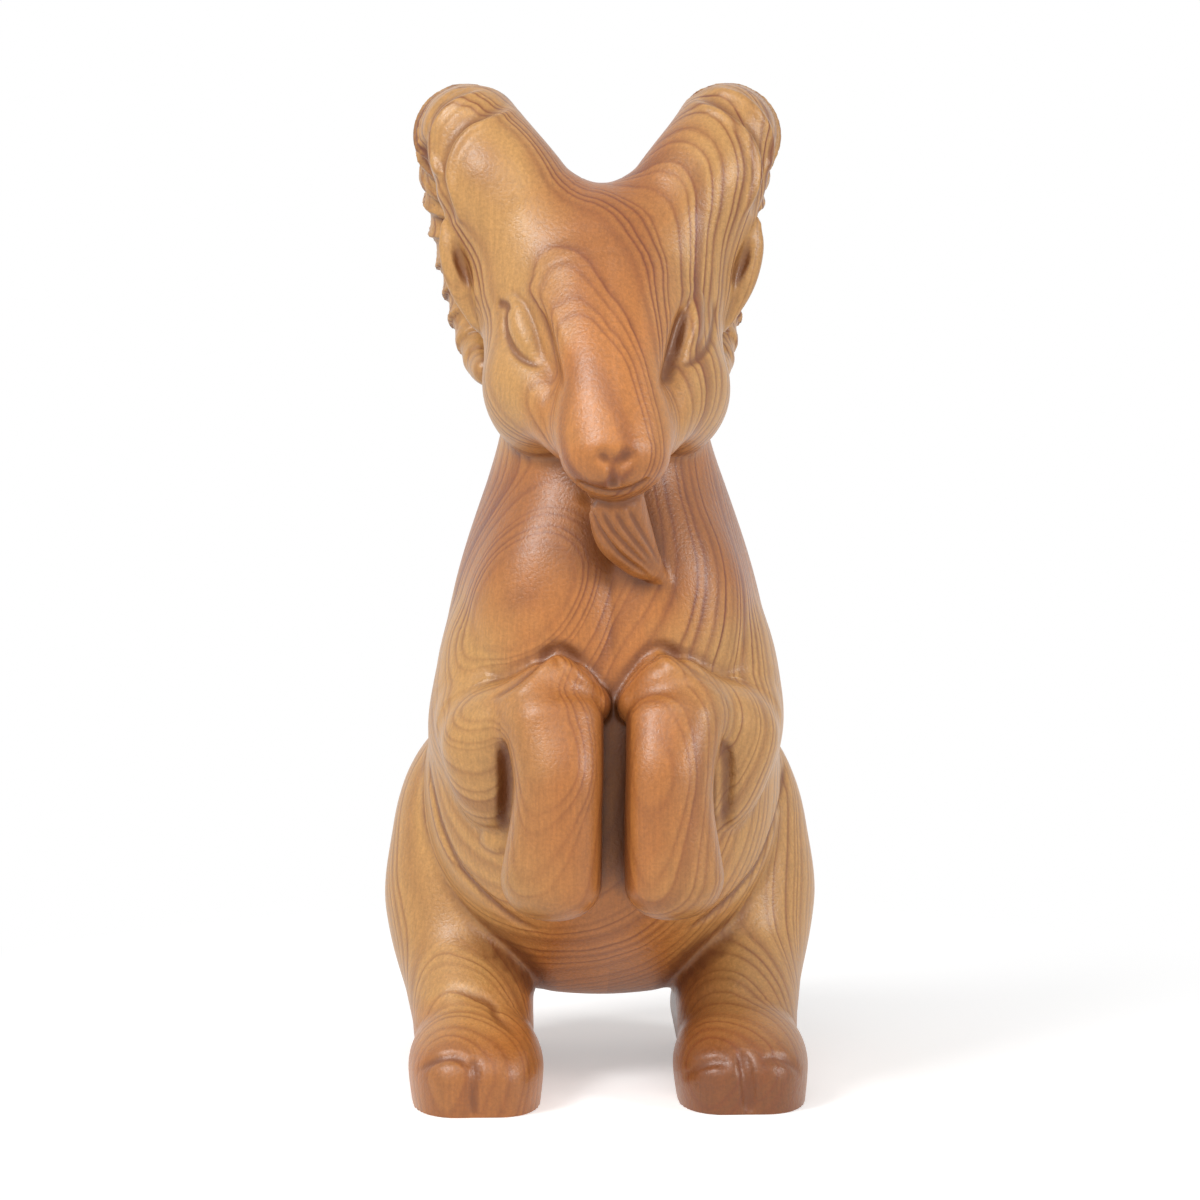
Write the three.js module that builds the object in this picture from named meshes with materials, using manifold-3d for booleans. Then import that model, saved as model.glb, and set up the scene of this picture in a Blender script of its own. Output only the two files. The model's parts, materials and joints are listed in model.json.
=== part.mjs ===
// A goat figurine carved in wood, sitting up on its haunches with its forelegs folded on its chest.
// Millimetres, +Z up. The goat faces -Y and its own left side is +X. The origin lies on the floor,
// under the middle of the figure's outline.
//
// Each piece starts as a rough form made of eggs and tapered limbs. The forms melt into one figure,
// which is then parted along the lines where two forms are equally deep, so every piece meets its
// neighbours on a carved outline. Round tenons in blind sockets hold the pieces together.
import * as THREE from "three";
import { mergeVertices } from "three/addons/utils/BufferGeometryUtils.js";
import Module from "manifold-3d";

const wasm = await Module();
wasm.setup();
const point = (x, y, z) => new THREE.Vector3(x, y, z);
const span = (x, y, z) => Math.sqrt(x * x + y * y + z * z);

// Joinery
const GLUE_GAP = 0.3; // between two pieces, and round a tenon in its socket
const TENON_SIDES = 8;

// Hind feet and hooves
const STANCE = 13.1; // from the middle of the figure to the middle of a foot
const HOOF_HALF_WIDTH = 6.3;
const HOOF_TOE = 7.6; // from the middle of the hoof forwards
const HOOF_HEEL = 7.0;
const HOOF_HEIGHT = 8.0;
const HOOF_MIDDLE_Z = 3.0;
const HOOF_FORWARD = 12.6; // from the trunk's axis to the middle of the hoof
const FOOT_RADIUS = 5.4;
const FOOT_HEEL_BACK = 13.0; // from the trunk's axis back to the hock
const FOOT_SINK = 0.8; // how far the foot's middle line lies under its own radius
const FOOT_FILLET = 1.2;
const HOOF_MELT = 1.5;
const SOLE_DEPTH = 6.0; // of rough wood that the flat sole cuts away

// Haunches
const HAUNCH_HALF_WIDTH = 9.5;
const HAUNCH_FRONT = 14.0;
const HAUNCH_BACK = 13.5;
const HAUNCH_UP = 15.0;
const HAUNCH_DOWN = 13.0;
const HAUNCH_MIDDLE_Z = 18.6;
const HAUNCH_SINK = 3.8; // of the middle of a haunch under the belly's side
const HAUNCH_BEHIND = 6.5;
const STIFLE_RADIUS = 7.0;
const STIFLE_OUT = 0.7; // from the stance
const STIFLE_DROP = 4.0; // from the middle of the haunch
const SHIN_RADIUS = 6.0;
const SHIN_FORWARD = 5.0;
const INSTEP_OUT = 0.3;
const INSTEP_FORWARD = 1.0; // from the stifle
const INSTEP_RISE = 1.6; // above the foot's radius
const HAUNCH_FILLET = 1.2;
const LIMB_MELT = 3.0;

// Trunk
const TRUNK_HALF_WIDTH = 16.7;
const TRUNK_FRONT = 14.0;
const TRUNK_BACK = 14.5;
const TRUNK_UP = 32.4;
const TRUNK_DOWN = 24.0;
const TRUNK_MIDDLE_Y = 1.0;
const TRUNK_MIDDLE_Z = 35.5;
const BREAST_HALF_WIDTH = 7.0;
const BREAST_FRONT = 6.2;
const BREAST_UP = 10.0;
const BREAST_DOWN = 9.0;
const BREAST_OUT = 5.0;
const BREAST_FORWARD = 8.5;
const BREAST_RISE = 11.0; // from the trunk's middle to the middle of a breast muscle
const BELLY_HALF_WIDTH = 16.2;
const BELLY_FRONT = 14.0;
const BELLY_FORWARD = 1.5;
const BELLY_MIDDLE_Z = 25.0;
const BELLY_DOWN = 15.7;
const RUMP_HALF_WIDTH = 14.5;
const RUMP_BACK = 13.0;
const RUMP_UP = 17.0;
const RUMP_DOWN = 16.3;
const RUMP_MIDDLE_Z = 23.5;
const RUMP_BEHIND = 11.0;
const GROIN_RADIUS = 5.2;
const GROIN_OUT = 7.2;
const GROIN_FORWARD = 3.0;
const GROIN_MIDDLE_Z = 14.0;
const TRUNK_MELT = 4.0;
const TRUNK_FILLET = 1.0;

// Neck
const NECK_RADIUS = 11.2;
const THROAT_RADIUS = 10.0;
const NECK_RISE = 15.5; // from the trunk's middle to the foot of the neck
const NECK_LENGTH = 18.0;
const NECK_BEHIND = 1.5;
const THROAT_FORWARD = 1.0;

// Head
const SKULL_HALF_WIDTH = 12.0;
const SKULL_FRONT = 9.6;
const SKULL_BACK = 10.0;
const SKULL_UP = 12.6;
const SKULL_DOWN = 10.0;
const SKULL_RISE = 8.5; // from the throat to the middle of the skull
const SKULL_FORWARD = 2.0;
const CHEEK_OUT = 5.0;
const CHEEK_HALF_WIDTH = 7.4;
const CHEEK_FRONT = 7.4;
const CHEEK_BACK = 9.0;
const CHEEK_UP = 8.5;
const CHEEK_DOWN = 7.6;
const CHEEK_DROP = 7.1; // from the middle of the skull to the middle of a cheek
const CHEEK_FORWARD = 3.5;
const JAW_RADIUS = 5.2;
const JAW_DROP = 2.0; // from the middle of a cheek
const CHIN_RADIUS = 3.9;
const CHIN_BEHIND = 1.5; // from the middle of the muzzle
const CHIN_DROP = 1.9;
const BRIDGE_RADIUS = 7.6;
const BRIDGE_FORWARD = 4.8;
const BRIDGE_RISE = 1.4;
const NOSE_RADIUS = 4.7;
const NOSE_BEHIND = 3.8; // from the middle of the muzzle
const NOSE_RISE = 6.0;
const MUZZLE_RADIUS = 5.8;
const MUZZLE_DROP = 11.3; // from the middle of the skull to the middle of the muzzle
const MUZZLE_FORWARD = 16.6;
const EYE_OUT = 8.3;
const EYE_FORWARD = 6.6;
const EYE_DROP = 0.8;
const SOCKET_RADIUS = 3.2;
const SOCKET_OUT = 0.7; // from the eye
const SOCKET_FORWARD = 2.8;
const SOCKET_MELT = 2.0;
const BROW_RADIUS = 2.4;
const BROW_OUT = 3.6; // inner end of the brow, from the middle of the skull
const BROW_FORWARD = 7.9;
const BROW_RISE = 1.4;
const BROW_ABOVE_EYE = 3.0;
const HEAD_MELT = 2.4;
const HEAD_FILLET = 1.0;

// Horns
const HORN_ROOT_RADIUS = 6.4;
const HORN_CROWN_RADIUS = 4.8;
const HORN_TIP_RADIUS = 1.6;
const HORN_RISE = 17.0; // from the middle of the skull to the top of the horn's middle line
const HORN_DROP = 6.5; // from the middle of the skull down to the tip
const HORN_SPREAD = 13.5;
const HORN_SWEEP = 16.4; // from the middle of the skull back to the rear of the horn's middle line
const HORN_RIB_PITCH = 2.9;
const HORN_RIB_HEIGHT = 0.5;
const HORN_RIB_GROOVE = 0.6; // share of a rib's height that lies under the smooth horn
const HORN_CROWN = 0.3; // share of the length where the horn turns over
const HORN_RIBS_START = 0.18;
const HORN_RIBS_FULL = 0.26;
const HORN_RIBS_END = 0.9;
const HORN_TAPER = 1.4;
const HORN_FILLET = 4.0;
// Shares of the spread, of the sweep and of the height from the tip to the top, along the middle line
const HORN_LINE = [
  [0.36, 0.03, 0.489],
  [0.62, 0.11, 0.728],
  [0.86, 0.256, 0.906],
  [1, 0.476, 1],
  [1.022, 0.732, 0.932],
  [1, 0.945, 0.753],
  [0.956, 1, 0.54],
  [0.911, 0.927, 0.336],
  [0.881, 0.744, 0.136],
  [0.867, 0.524, 0.026],
  [0.844, 0.354, 0],
];

// Ears
const EAR_LENGTH = 9.4;
const EAR_LEAN = 3.2; // how far the tip stands further out than the root
const EAR_TILT = 1.6; // how far the tip stands further back than the root
const EAR_HALF_WIDTH = 2.6;
const EAR_FLATNESS = 1.6;
const EAR_HOLLOW = 1.5;
const EAR_HOLLOW_TIP = 0.9;
const EAR_HOLLOW_MELT = 0.6;
const EAR_SINK = 0.4; // of the root into the side of the skull
const EAR_BEHIND = 1.8;
const EAR_DROP = 1.4;
const EAR_FILLET = 0.8;
// Shares of the length and of the half width, from root to tip
const EAR_LEAF = [
  [0, 0.7],
  [0.38, 1],
  [0.72, 0.8],
  [1, 0.2],
];

// Beard
const BEARD_RADIUS = 2.9;
const BEARD_LENGTH = 9.2;
const BEARD_SWING = 5.1; // how far the tip hangs to the goat's left
const BEARD_TUCK = 4.2; // how far the tip hangs behind the root
const BEARD_BEHIND = 1.8;
const BEARD_BELLY = 0.8; // how far the lock bends out to the goat's right
const BEARD_FULLNESS = 0.62;
const BEARD_FILLET = 0.6;
// Shares of the length, of the radius and of the bend, from root to tip
const BEARD_LOCK = [
  [0, 1, 0],
  [0.4, 0.84, 1],
  [0.75, 0.5, 0.5],
  [1, 0.17, 0],
];

// Forelegs
const SHOULDER_HALF_WIDTH = 6.0;
const SHOULDER_FRONT = 9.0;
const SHOULDER_BACK = 9.0;
const SHOULDER_UP = 13.5;
const SHOULDER_DOWN = 8.4;
const SHOULDER_SINK = 5.3; // of the middle of the shoulder under the trunk's side
const SHOULDER_FORWARD = 3.5;
const SHOULDER_RISE = 1.0;
const ARM_RADIUS = 4.9;
const ELBOW_RADIUS = 4.2;
const ELBOW_IN = 0.6; // from the middle of the shoulder
const ELBOW_DROP = 5.2; // below the trunk's middle
const ELBOW_SINK = 2.0; // of the middle of the elbow under the trunk's front
const FOREARM_RADIUS = 3.9;
const FOREARM_ROOT_RADIUS = 4.2;
const FOREARM_TOP_RADIUS = 3.6;
const FOREARM_BOW = 2.2;
const FOREARM_BOW_AT = 0.3; // shares of the way from the elbow up to the knee
const FOREARM_TOP_AT = 0.66;
const FOREARM_TOP_FORWARD = 0.5;
const FOREARM_ROOT_FORWARD = 1.5; // from the elbow
const FOREARM_ROOT_DROP = 0.9;
const FOREARM_BOW_FORWARD = 0.6;
const FOREARM_TOP_IN = 0.3;
const FOREARM_END_OUT = 1.0; // from the knee
const FOREARM_END_BEHIND = 0.9;
const KNEE_RADIUS = 3.9;
const KNEE_CAP_RADIUS = 4.2;
const KNEE_CAP_FORWARD = 0.6; // from the knee
const KNEE_OUT = 5.3;
const KNEE_RISE = 5.3;
const KNEE_FORWARD = 5.6; // from the elbow
const CANNON_RADIUS = 4.5;
const CANNON_TOP_RADIUS = 4.8;
const CANNON_TOP_AT = 0.4; // shares of the way from the knee down to the hoof
const CANNON_AT = 0.66;
const CANNON_TOP_BULGE = 0.9;
const CANNON_BULGE = 0.5;
const FOREHOOF_RADIUS = 5.0;
const FOREHOOF_DROP = 11.6;
const FOREHOOF_OUT = 6.2;
const FOREHOOF_FORWARD = 1.4; // from the knee
const SHOULDER_FILLET = 1.2;
const FORELEG_FILLET = 0.8;

// Tail
const TAIL_RADIUS = 3.0;
const TAIL_MIDDLE_RADIUS = 2.7;
const TAIL_TIP_RADIUS = 0.8;
const TAIL_LENGTH = 10.0;
const TAIL_OUT = 5.5;
const TAIL_BEND = 0.8;
const TAIL_SINK = 1.8; // of the root into the rump
const TAIL_DROP = 5.5; // from the middle of the rump
const TAIL_FILLET = 0.8;

// Tenon radii
const NECK_TENON = 4.0;
const HORN_TENON = 2.2;
const EAR_TENON = 0.8;
const BEARD_TENON = 0.9;
const SHOULDER_TENON = 2.2;
const FORELEG_TENON = 1.6;
const HAUNCH_TENON = 3.0;
const FOOT_TENON = 2.2;
const TAIL_TENON = 1.2;

// Fields: the distance from a form's surface to a point, negative inside

const FAR = HORN_FILLET * 2; // beyond this a form has no part in what happens at a point

function egg(middle, { side, front, back, up, down }) {
  return (p) => {
    const ry = p.y < middle.y ? front : back;
    const rz = p.z < middle.z ? down : up;
    const x = (p.x - middle.x) / side;
    const y = (p.y - middle.y) / ry;
    const z = (p.z - middle.z) / rz;
    const reach = span(x, y, z);
    const slope = span(x / side, y / ry, z / rz);
    return slope > 0 ? (reach * (reach - 1)) / slope : -Math.min(side, ry, rz);
  };
}

const ball = (middle, radius) => (p) => p.distanceTo(middle) - radius;

// A round limb through stations, each [place, radius], smoothed into short straight stretches.
function limb(stations, stretches = 12) {
  const line = new THREE.CatmullRomCurve3(stations.map(([place]) => place));
  const knots = stations.map(([, radius]) => radius);
  const steps = Array.from({ length: stretches + 1 }, (_, i) => i / stretches);
  const places = steps.map((t) => line.getPoint(t));
  const radii = steps.map((t) => smoothAlong(knots, t));
  const ends = new THREE.Box3().setFromPoints(places).getBoundingSphere(new THREE.Sphere());
  const reach = ends.radius + Math.max(...radii);
  return (p) => {
    const away = p.distanceTo(ends.center) - reach;
    if (away > FAR) return away;
    let least = Infinity;
    for (let i = 0; i < stretches; i += 1) {
      const t = shareAlong(p, places[i], places[i + 1]);
      const x = p.x - THREE.MathUtils.lerp(places[i].x, places[i + 1].x, t);
      const y = p.y - THREE.MathUtils.lerp(places[i].y, places[i + 1].y, t);
      const z = p.z - THREE.MathUtils.lerp(places[i].z, places[i + 1].z, t);
      least = Math.min(least, span(x, y, z) - THREE.MathUtils.lerp(radii[i], radii[i + 1], t));
    }
    return least;
  };
}

function shareAlong(p, a, b) {
  const x = b.x - a.x;
  const y = b.y - a.y;
  const z = b.z - a.z;
  const t = ((p.x - a.x) * x + (p.y - a.y) * y + (p.z - a.z) * z) / (x * x + y * y + z * z);
  return THREE.MathUtils.clamp(t, 0, 1);
}

function smoothAlong(knots, t) {
  const spot = t * (knots.length - 1);
  const i = Math.min(Math.floor(spot), knots.length - 2);
  const share = THREE.MathUtils.smoothstep(spot - i, 0, 1);
  return THREE.MathUtils.lerp(knots[i], knots[i + 1], share);
}

// The fillet that fills the corner between two forms, as deep as a quarter of its width.
function fillet(a, b, width) {
  const near = Math.max(width - Math.abs(a - b), 0) / width;
  return (near * near * width) / 4;
}

const meltTwo = (a, b, width) => Math.min(a, b) - fillet(a, b, width);
const melt = (width, ...fields) => (p) => fields.reduce((d, field) => meltTwo(d, field(p), width), Infinity);
const hollow = (width, field, cutter) => (p) => -meltTwo(-field(p), cutter(p), width);

// The same form on both sides of the figure, given its left one.
function both(field) {
  const left = point(0, 0, 0);
  return (p) => field(left.set(Math.abs(p.x), p.y, p.z));
}

// A form pressed flat from front to back about a plane, or drawn out where the factor is under 1.
function pressed(field, y, factor) {
  const spread = point(0, 0, 0);
  return (p) => field(spread.set(p.x, y + (p.y - y) * factor, p.z)) / Math.max(1, factor);
}

// Places that the forms share, worked up from the floor

const between = (a, b, t) => a.clone().lerp(b, t);
const mirrored = (place) => point(-place.x, place.y, place.z);
const moved = (place, x, y, z) => point(place.x + x, place.y + y, place.z + z);

const trunk = point(0, TRUNK_MIDDLE_Y, TRUNK_MIDDLE_Z);
const breast = moved(trunk, BREAST_OUT, -BREAST_FORWARD, BREAST_RISE);
const belly = point(0, trunk.y - BELLY_FORWARD, BELLY_MIDDLE_Z);
const rump = point(0, RUMP_BEHIND, RUMP_MIDDLE_Z);
const groin = point(GROIN_OUT, trunk.y - GROIN_FORWARD, GROIN_MIDDLE_Z);
const neckFoot = moved(trunk, 0, NECK_BEHIND, NECK_RISE);
const throat = point(0, trunk.y - THROAT_FORWARD, neckFoot.z + NECK_LENGTH);
const skull = moved(throat, 0, -SKULL_FORWARD, SKULL_RISE);
const cheek = moved(skull, CHEEK_OUT, -CHEEK_FORWARD, -CHEEK_DROP);
const jaw = point(0, cheek.y, cheek.z - JAW_DROP);
const bridge = moved(skull, 0, -BRIDGE_FORWARD, BRIDGE_RISE);
const muzzle = moved(skull, 0, -MUZZLE_FORWARD, -MUZZLE_DROP);
const nose = moved(muzzle, 0, NOSE_BEHIND, NOSE_RISE);
const chin = moved(muzzle, 0, CHIN_BEHIND, -CHIN_DROP);
const eye = moved(skull, EYE_OUT, -EYE_FORWARD, -EYE_DROP);
const socket = moved(eye, SOCKET_OUT, -SOCKET_FORWARD, 0);
const browInner = moved(skull, BROW_OUT, -BROW_FORWARD, BROW_RISE);
const browOuter = moved(eye, 0, 0, BROW_ABOVE_EYE);
const haunch = point(BELLY_HALF_WIDTH - HAUNCH_SINK, HAUNCH_BEHIND, HAUNCH_MIDDLE_Z);
const stifle = point(STANCE + STIFLE_OUT, -SHIN_FORWARD, HAUNCH_MIDDLE_Z - STIFLE_DROP);
const instep = point(STANCE + INSTEP_OUT, stifle.y - INSTEP_FORWARD, FOOT_RADIUS + INSTEP_RISE);
const hock = point(STANCE, FOOT_HEEL_BACK, FOOT_RADIUS - FOOT_SINK);
const hoof = point(STANCE, -HOOF_FORWARD, HOOF_MIDDLE_Z);
const shoulder = moved(trunk, TRUNK_HALF_WIDTH - SHOULDER_SINK, -SHOULDER_FORWARD, SHOULDER_RISE);
const elbow = point(shoulder.x - ELBOW_IN, trunk.y - TRUNK_FRONT + ELBOW_SINK, trunk.z - ELBOW_DROP);
const knee = point(KNEE_OUT, elbow.y - KNEE_FORWARD, trunk.z + KNEE_RISE);
const forehoof = point(FOREHOOF_OUT, knee.y - FOREHOOF_FORWARD, trunk.z - FOREHOOF_DROP);
const earRoot = moved(skull, SKULL_HALF_WIDTH - EAR_SINK, EAR_BEHIND, -EAR_DROP);
const earTip = moved(earRoot, EAR_LEAN, EAR_TILT, EAR_LENGTH);
const beardRoot = moved(muzzle, 0, BEARD_BEHIND, -MUZZLE_RADIUS);
const beardTip = moved(beardRoot, BEARD_SWING, BEARD_TUCK, -BEARD_LENGTH);
const tailRoot = moved(rump, 0, RUMP_BACK - TAIL_SINK, -TAIL_DROP);
const tailTip = moved(tailRoot, 0, TAIL_OUT, TAIL_LENGTH);

// Rough forms

function torsoForm() {
  return melt(
    TRUNK_MELT,
    egg(trunk, {
      side: TRUNK_HALF_WIDTH,
      front: TRUNK_FRONT,
      back: TRUNK_BACK,
      up: TRUNK_UP,
      down: TRUNK_DOWN,
    }),
    both(
      egg(breast, {
        side: BREAST_HALF_WIDTH,
        front: BREAST_FRONT,
        back: BREAST_FRONT,
        up: BREAST_UP,
        down: BREAST_DOWN,
      }),
    ),
    egg(belly, { side: BELLY_HALF_WIDTH, front: BELLY_FRONT, back: TRUNK_BACK, up: BELLY_DOWN, down: BELLY_DOWN }),
    egg(rump, { side: RUMP_HALF_WIDTH, front: RUMP_BACK, back: RUMP_BACK, up: RUMP_UP, down: RUMP_DOWN }),
    limb([
      [groin, GROIN_RADIUS],
      [mirrored(groin), GROIN_RADIUS],
    ]),
    limb([
      [neckFoot, NECK_RADIUS],
      [throat, THROAT_RADIUS],
    ]),
  );
}

function headForm() {
  const face = melt(
    HEAD_MELT,
    egg(skull, { side: SKULL_HALF_WIDTH, front: SKULL_FRONT, back: SKULL_BACK, up: SKULL_UP, down: SKULL_DOWN }),
    both(
      egg(cheek, {
        side: CHEEK_HALF_WIDTH,
        front: CHEEK_FRONT,
        back: CHEEK_BACK,
        up: CHEEK_UP,
        down: CHEEK_DOWN,
      }),
    ),
    limb([
      [bridge, BRIDGE_RADIUS],
      [nose, NOSE_RADIUS],
      [muzzle, MUZZLE_RADIUS],
    ]),
    both(
      limb([
        [browInner, BROW_RADIUS],
        [browOuter, BROW_RADIUS],
      ]),
    ),
    limb([
      [jaw, JAW_RADIUS],
      [chin, CHIN_RADIUS],
    ]),
  );
  return hollow(SOCKET_MELT, face, both(ball(socket, SOCKET_RADIUS)));
}

// The horn's middle line rises out of the brow, turns over and comes down behind the ear.
function hornLine() {
  const tip = skull.z - HORN_DROP;
  return HORN_LINE.map(([across, back, up]) =>
    point(HORN_SPREAD * across, skull.y + HORN_SWEEP * back, tip + (HORN_RISE + HORN_DROP) * up),
  );
}

function hornForm() {
  const { lerp, smoothstep } = THREE.MathUtils;
  const line = new THREE.CatmullRomCurve3(hornLine());
  const length = line.getLength();
  const radiusAt = (t) => {
    const thick =
      t < HORN_CROWN
        ? lerp(HORN_ROOT_RADIUS, HORN_CROWN_RADIUS, t / HORN_CROWN)
        : lerp(HORN_CROWN_RADIUS, HORN_TIP_RADIUS, ((t - HORN_CROWN) / (1 - HORN_CROWN)) ** HORN_TAPER);
    const ribbed = smoothstep(t, HORN_RIBS_START, HORN_RIBS_FULL) * (1 - smoothstep(t, HORN_RIBS_END, 1));
    const wave = Math.abs(Math.sin((Math.PI * t * length) / HORN_RIB_PITCH));
    return thick + ribbed * HORN_RIB_HEIGHT * (wave - HORN_RIB_GROOVE) * (thick / HORN_CROWN_RADIUS);
  };
  const stretches = 96;
  const shares = Array.from({ length: stretches + 1 }, (_, i) => i / stretches);
  return limb(
    shares.map((t) => [line.getPointAt(t), radiusAt(t)]),
    stretches,
  );
}

function earForm() {
  const leaf = limb(EAR_LEAF.map(([t, wide]) => [between(earRoot, earTip, t), EAR_HALF_WIDTH * wide]));
  const flat = pressed(leaf, between(earRoot, earTip, 0.5).y, EAR_FLATNESS);
  const dish = limb([
    [moved(between(earRoot, earTip, 0.2), 0, -EAR_HALF_WIDTH, 0), EAR_HOLLOW],
    [moved(between(earRoot, earTip, 0.8), 0, -EAR_HALF_WIDTH, 0), EAR_HOLLOW_TIP],
  ]);
  return hollow(EAR_HOLLOW_MELT, flat, dish);
}

function beardForm() {
  const lock = limb(
    BEARD_LOCK.map(([t, thick, bend]) => [
      moved(between(beardRoot, beardTip, t), -BEARD_BELLY * bend, 0, 0),
      BEARD_RADIUS * thick,
    ]),
  );
  return pressed(lock, between(beardRoot, beardTip, 0.5).y, BEARD_FULLNESS);
}

function shoulderForm() {
  const blade = egg(shoulder, {
    side: SHOULDER_HALF_WIDTH,
    front: SHOULDER_FRONT,
    back: SHOULDER_BACK,
    up: SHOULDER_UP,
    down: SHOULDER_DOWN,
  });
  const arm = limb([
    [shoulder, ARM_RADIUS],
    [elbow, ELBOW_RADIUS],
  ]);
  return melt(LIMB_MELT, blade, arm);
}

// From the elbow the forearm bows out and comes back in to the knee, round a pocket beside the cannon.
function forearmLine() {
  const bowHeight = between(elbow, knee, FOREARM_BOW_AT).z;
  const top = between(elbow, knee, FOREARM_TOP_AT);
  const topForward = between(elbow, knee, FOREARM_TOP_FORWARD).y;
  return [
    moved(elbow, 0, -FOREARM_ROOT_FORWARD, -FOREARM_ROOT_DROP),
    point(elbow.x + FOREARM_BOW, elbow.y - FOREARM_BOW_FORWARD, bowHeight),
    point(elbow.x - FOREARM_TOP_IN, topForward, top.z),
    moved(knee, FOREARM_END_OUT, FOREARM_END_BEHIND, 0),
  ];
}

function forearmForm() {
  const [root, bow, top, end] = forearmLine();
  return limb([
    [root, FOREARM_ROOT_RADIUS],
    [bow, FOREARM_RADIUS],
    [top, FOREARM_TOP_RADIUS],
    [end, KNEE_RADIUS],
  ]);
}

function forefootForm() {
  return limb([
    [moved(knee, 0, -KNEE_CAP_FORWARD, 0), KNEE_CAP_RADIUS],
    [moved(between(knee, forehoof, CANNON_TOP_AT), 0, -CANNON_TOP_BULGE, 0), CANNON_TOP_RADIUS],
    [moved(between(knee, forehoof, CANNON_AT), 0, -CANNON_BULGE, 0), CANNON_RADIUS],
    [forehoof, FOREHOOF_RADIUS],
  ]);
}

function haunchForm() {
  const thigh = egg(haunch, {
    side: HAUNCH_HALF_WIDTH,
    front: HAUNCH_FRONT,
    back: HAUNCH_BACK,
    up: HAUNCH_UP,
    down: HAUNCH_DOWN,
  });
  const shin = limb([
    [stifle, STIFLE_RADIUS],
    [instep, SHIN_RADIUS],
  ]);
  return melt(LIMB_MELT, thigh, shin);
}

function hindFootForm() {
  const sole = limb([
    [hock, FOOT_RADIUS],
    [between(hock, hoof, 0.5), FOOT_RADIUS],
    [point(STANCE, hoof.y, hock.z), FOOT_RADIUS],
  ]);
  const cloven = egg(hoof, {
    side: HOOF_HALF_WIDTH,
    front: HOOF_TOE,
    back: HOOF_HEEL,
    up: HOOF_HEIGHT - HOOF_MIDDLE_Z,
    down: SOLE_DEPTH + HOOF_MIDDLE_Z,
  });
  return melt(HOOF_MELT, sole, cloven);
}

function tailForm() {
  return limb([
    [tailRoot, TAIL_RADIUS],
    [moved(between(tailRoot, tailTip, 0.5), 0, TAIL_BEND, 0), TAIL_MIDDLE_RADIUS],
    [tailTip, TAIL_TIP_RADIUS],
  ]);
}

// The pieces, in the order in which they melt into the figure. A spine runs inside each one, and the
// skin is wrapped round it in rings. A paired piece is made once, on the left.

const horn = hornLine();
const pieces = [
  {
    name: "torso",
    form: torsoForm(),
    fillet: TRUNK_FILLET,
    spine: [between(belly, rump, 0.5), neckFoot.clone().setZ(trunk.z), between(neckFoot, throat, 0.5)],
    rings: 15,
    sides: 28,
  },
  {
    name: "head",
    form: headForm(),
    fillet: HEAD_FILLET,
    spine: [skull, between(skull, muzzle, 0.5), between(skull, muzzle, 0.9)],
    rings: 17,
    sides: 32,
  },
  {
    name: "horn",
    paired: true,
    form: both(hornForm()),
    fillet: HORN_FILLET,
    spine: horn.slice(1),
    rings: 56,
    sides: 9,
  },
  {
    name: "ear",
    paired: true,
    form: both(earForm()),
    fillet: EAR_FILLET,
    spine: [0.28, 0.85].map((t) => moved(between(earRoot, earTip, t), 0, EAR_HALF_WIDTH / 5, 0)),
    rings: 6,
    sides: 10,
  },
  {
    name: "beard",
    form: beardForm(),
    fillet: BEARD_FILLET,
    spine: [0.25, 0.85].map((t) => between(beardRoot, beardTip, t)),
    rings: 6,
    sides: 10,
  },
  {
    name: "shoulder",
    paired: true,
    form: both(shoulderForm()),
    fillet: SHOULDER_FILLET,
    spine: [0, 0.75].map((t) => moved(between(shoulder, elbow, t), SHOULDER_HALF_WIDTH * 0.4, 0, 0)),
    rings: 5,
    sides: 14,
  },
  {
    name: "forearm",
    paired: true,
    form: both(forearmForm()),
    fillet: FORELEG_FILLET,
    spine: forearmLine(),
    rings: 8,
    sides: 11,
  },
  {
    name: "forefoot",
    paired: true,
    form: both(forefootForm()),
    fillet: FORELEG_FILLET,
    spine: [0.2, 1].map((t) => moved(between(knee, forehoof, t), 0, -KNEE_RADIUS / 4, 0)),
    rings: 8,
    sides: 12,
  },
  {
    name: "haunch",
    paired: true,
    form: both(haunchForm()),
    fillet: HAUNCH_FILLET,
    spine: [0, 0.6].map((t) => moved(between(haunch, stifle, t), HAUNCH_HALF_WIDTH / 5, 0, 0)),
    rings: 5,
    sides: 17,
  },
  {
    name: "hind_foot",
    paired: true,
    form: both(hindFootForm()),
    fillet: FOOT_FILLET,
    spine: [point(STANCE, hock.y, hoof.z), hoof],
    rings: 10,
    sides: 14,
  },
  {
    name: "tail",
    form: tailForm(),
    fillet: TAIL_FILLET,
    spine: [0.4, 0.8].map((t) => moved(between(tailRoot, tailTip, t), 0, TAIL_RADIUS / 3, 0)),
    rings: 4,
    sides: 8,
  },
];

// How deep a point lies under a piece's surface, which is its form with the fillets where it melts into
// the others, and how far it lies beyond the piece's ground. A piece is parted from those before it in
// the list where its form and theirs are equally deep. Those after it are cut out of it later.
function measure(piece, p) {
  const own = piece.form(p);
  let surface = own;
  let ground = piece.paired ? GLUE_GAP / 2 - p.x : -Infinity;
  let isLater = false;
  for (const other of pieces) {
    if (other === piece) {
      isLater = true;
    } else {
      const depth = other.form(p);
      surface -= fillet(own, depth, isLater ? other.fillet : piece.fillet);
      if (!isLater) ground = Math.max(ground, (own - depth) / 2);
    }
  }
  return { surface, ground };
}

// Wrapping a skin round a spine

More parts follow.
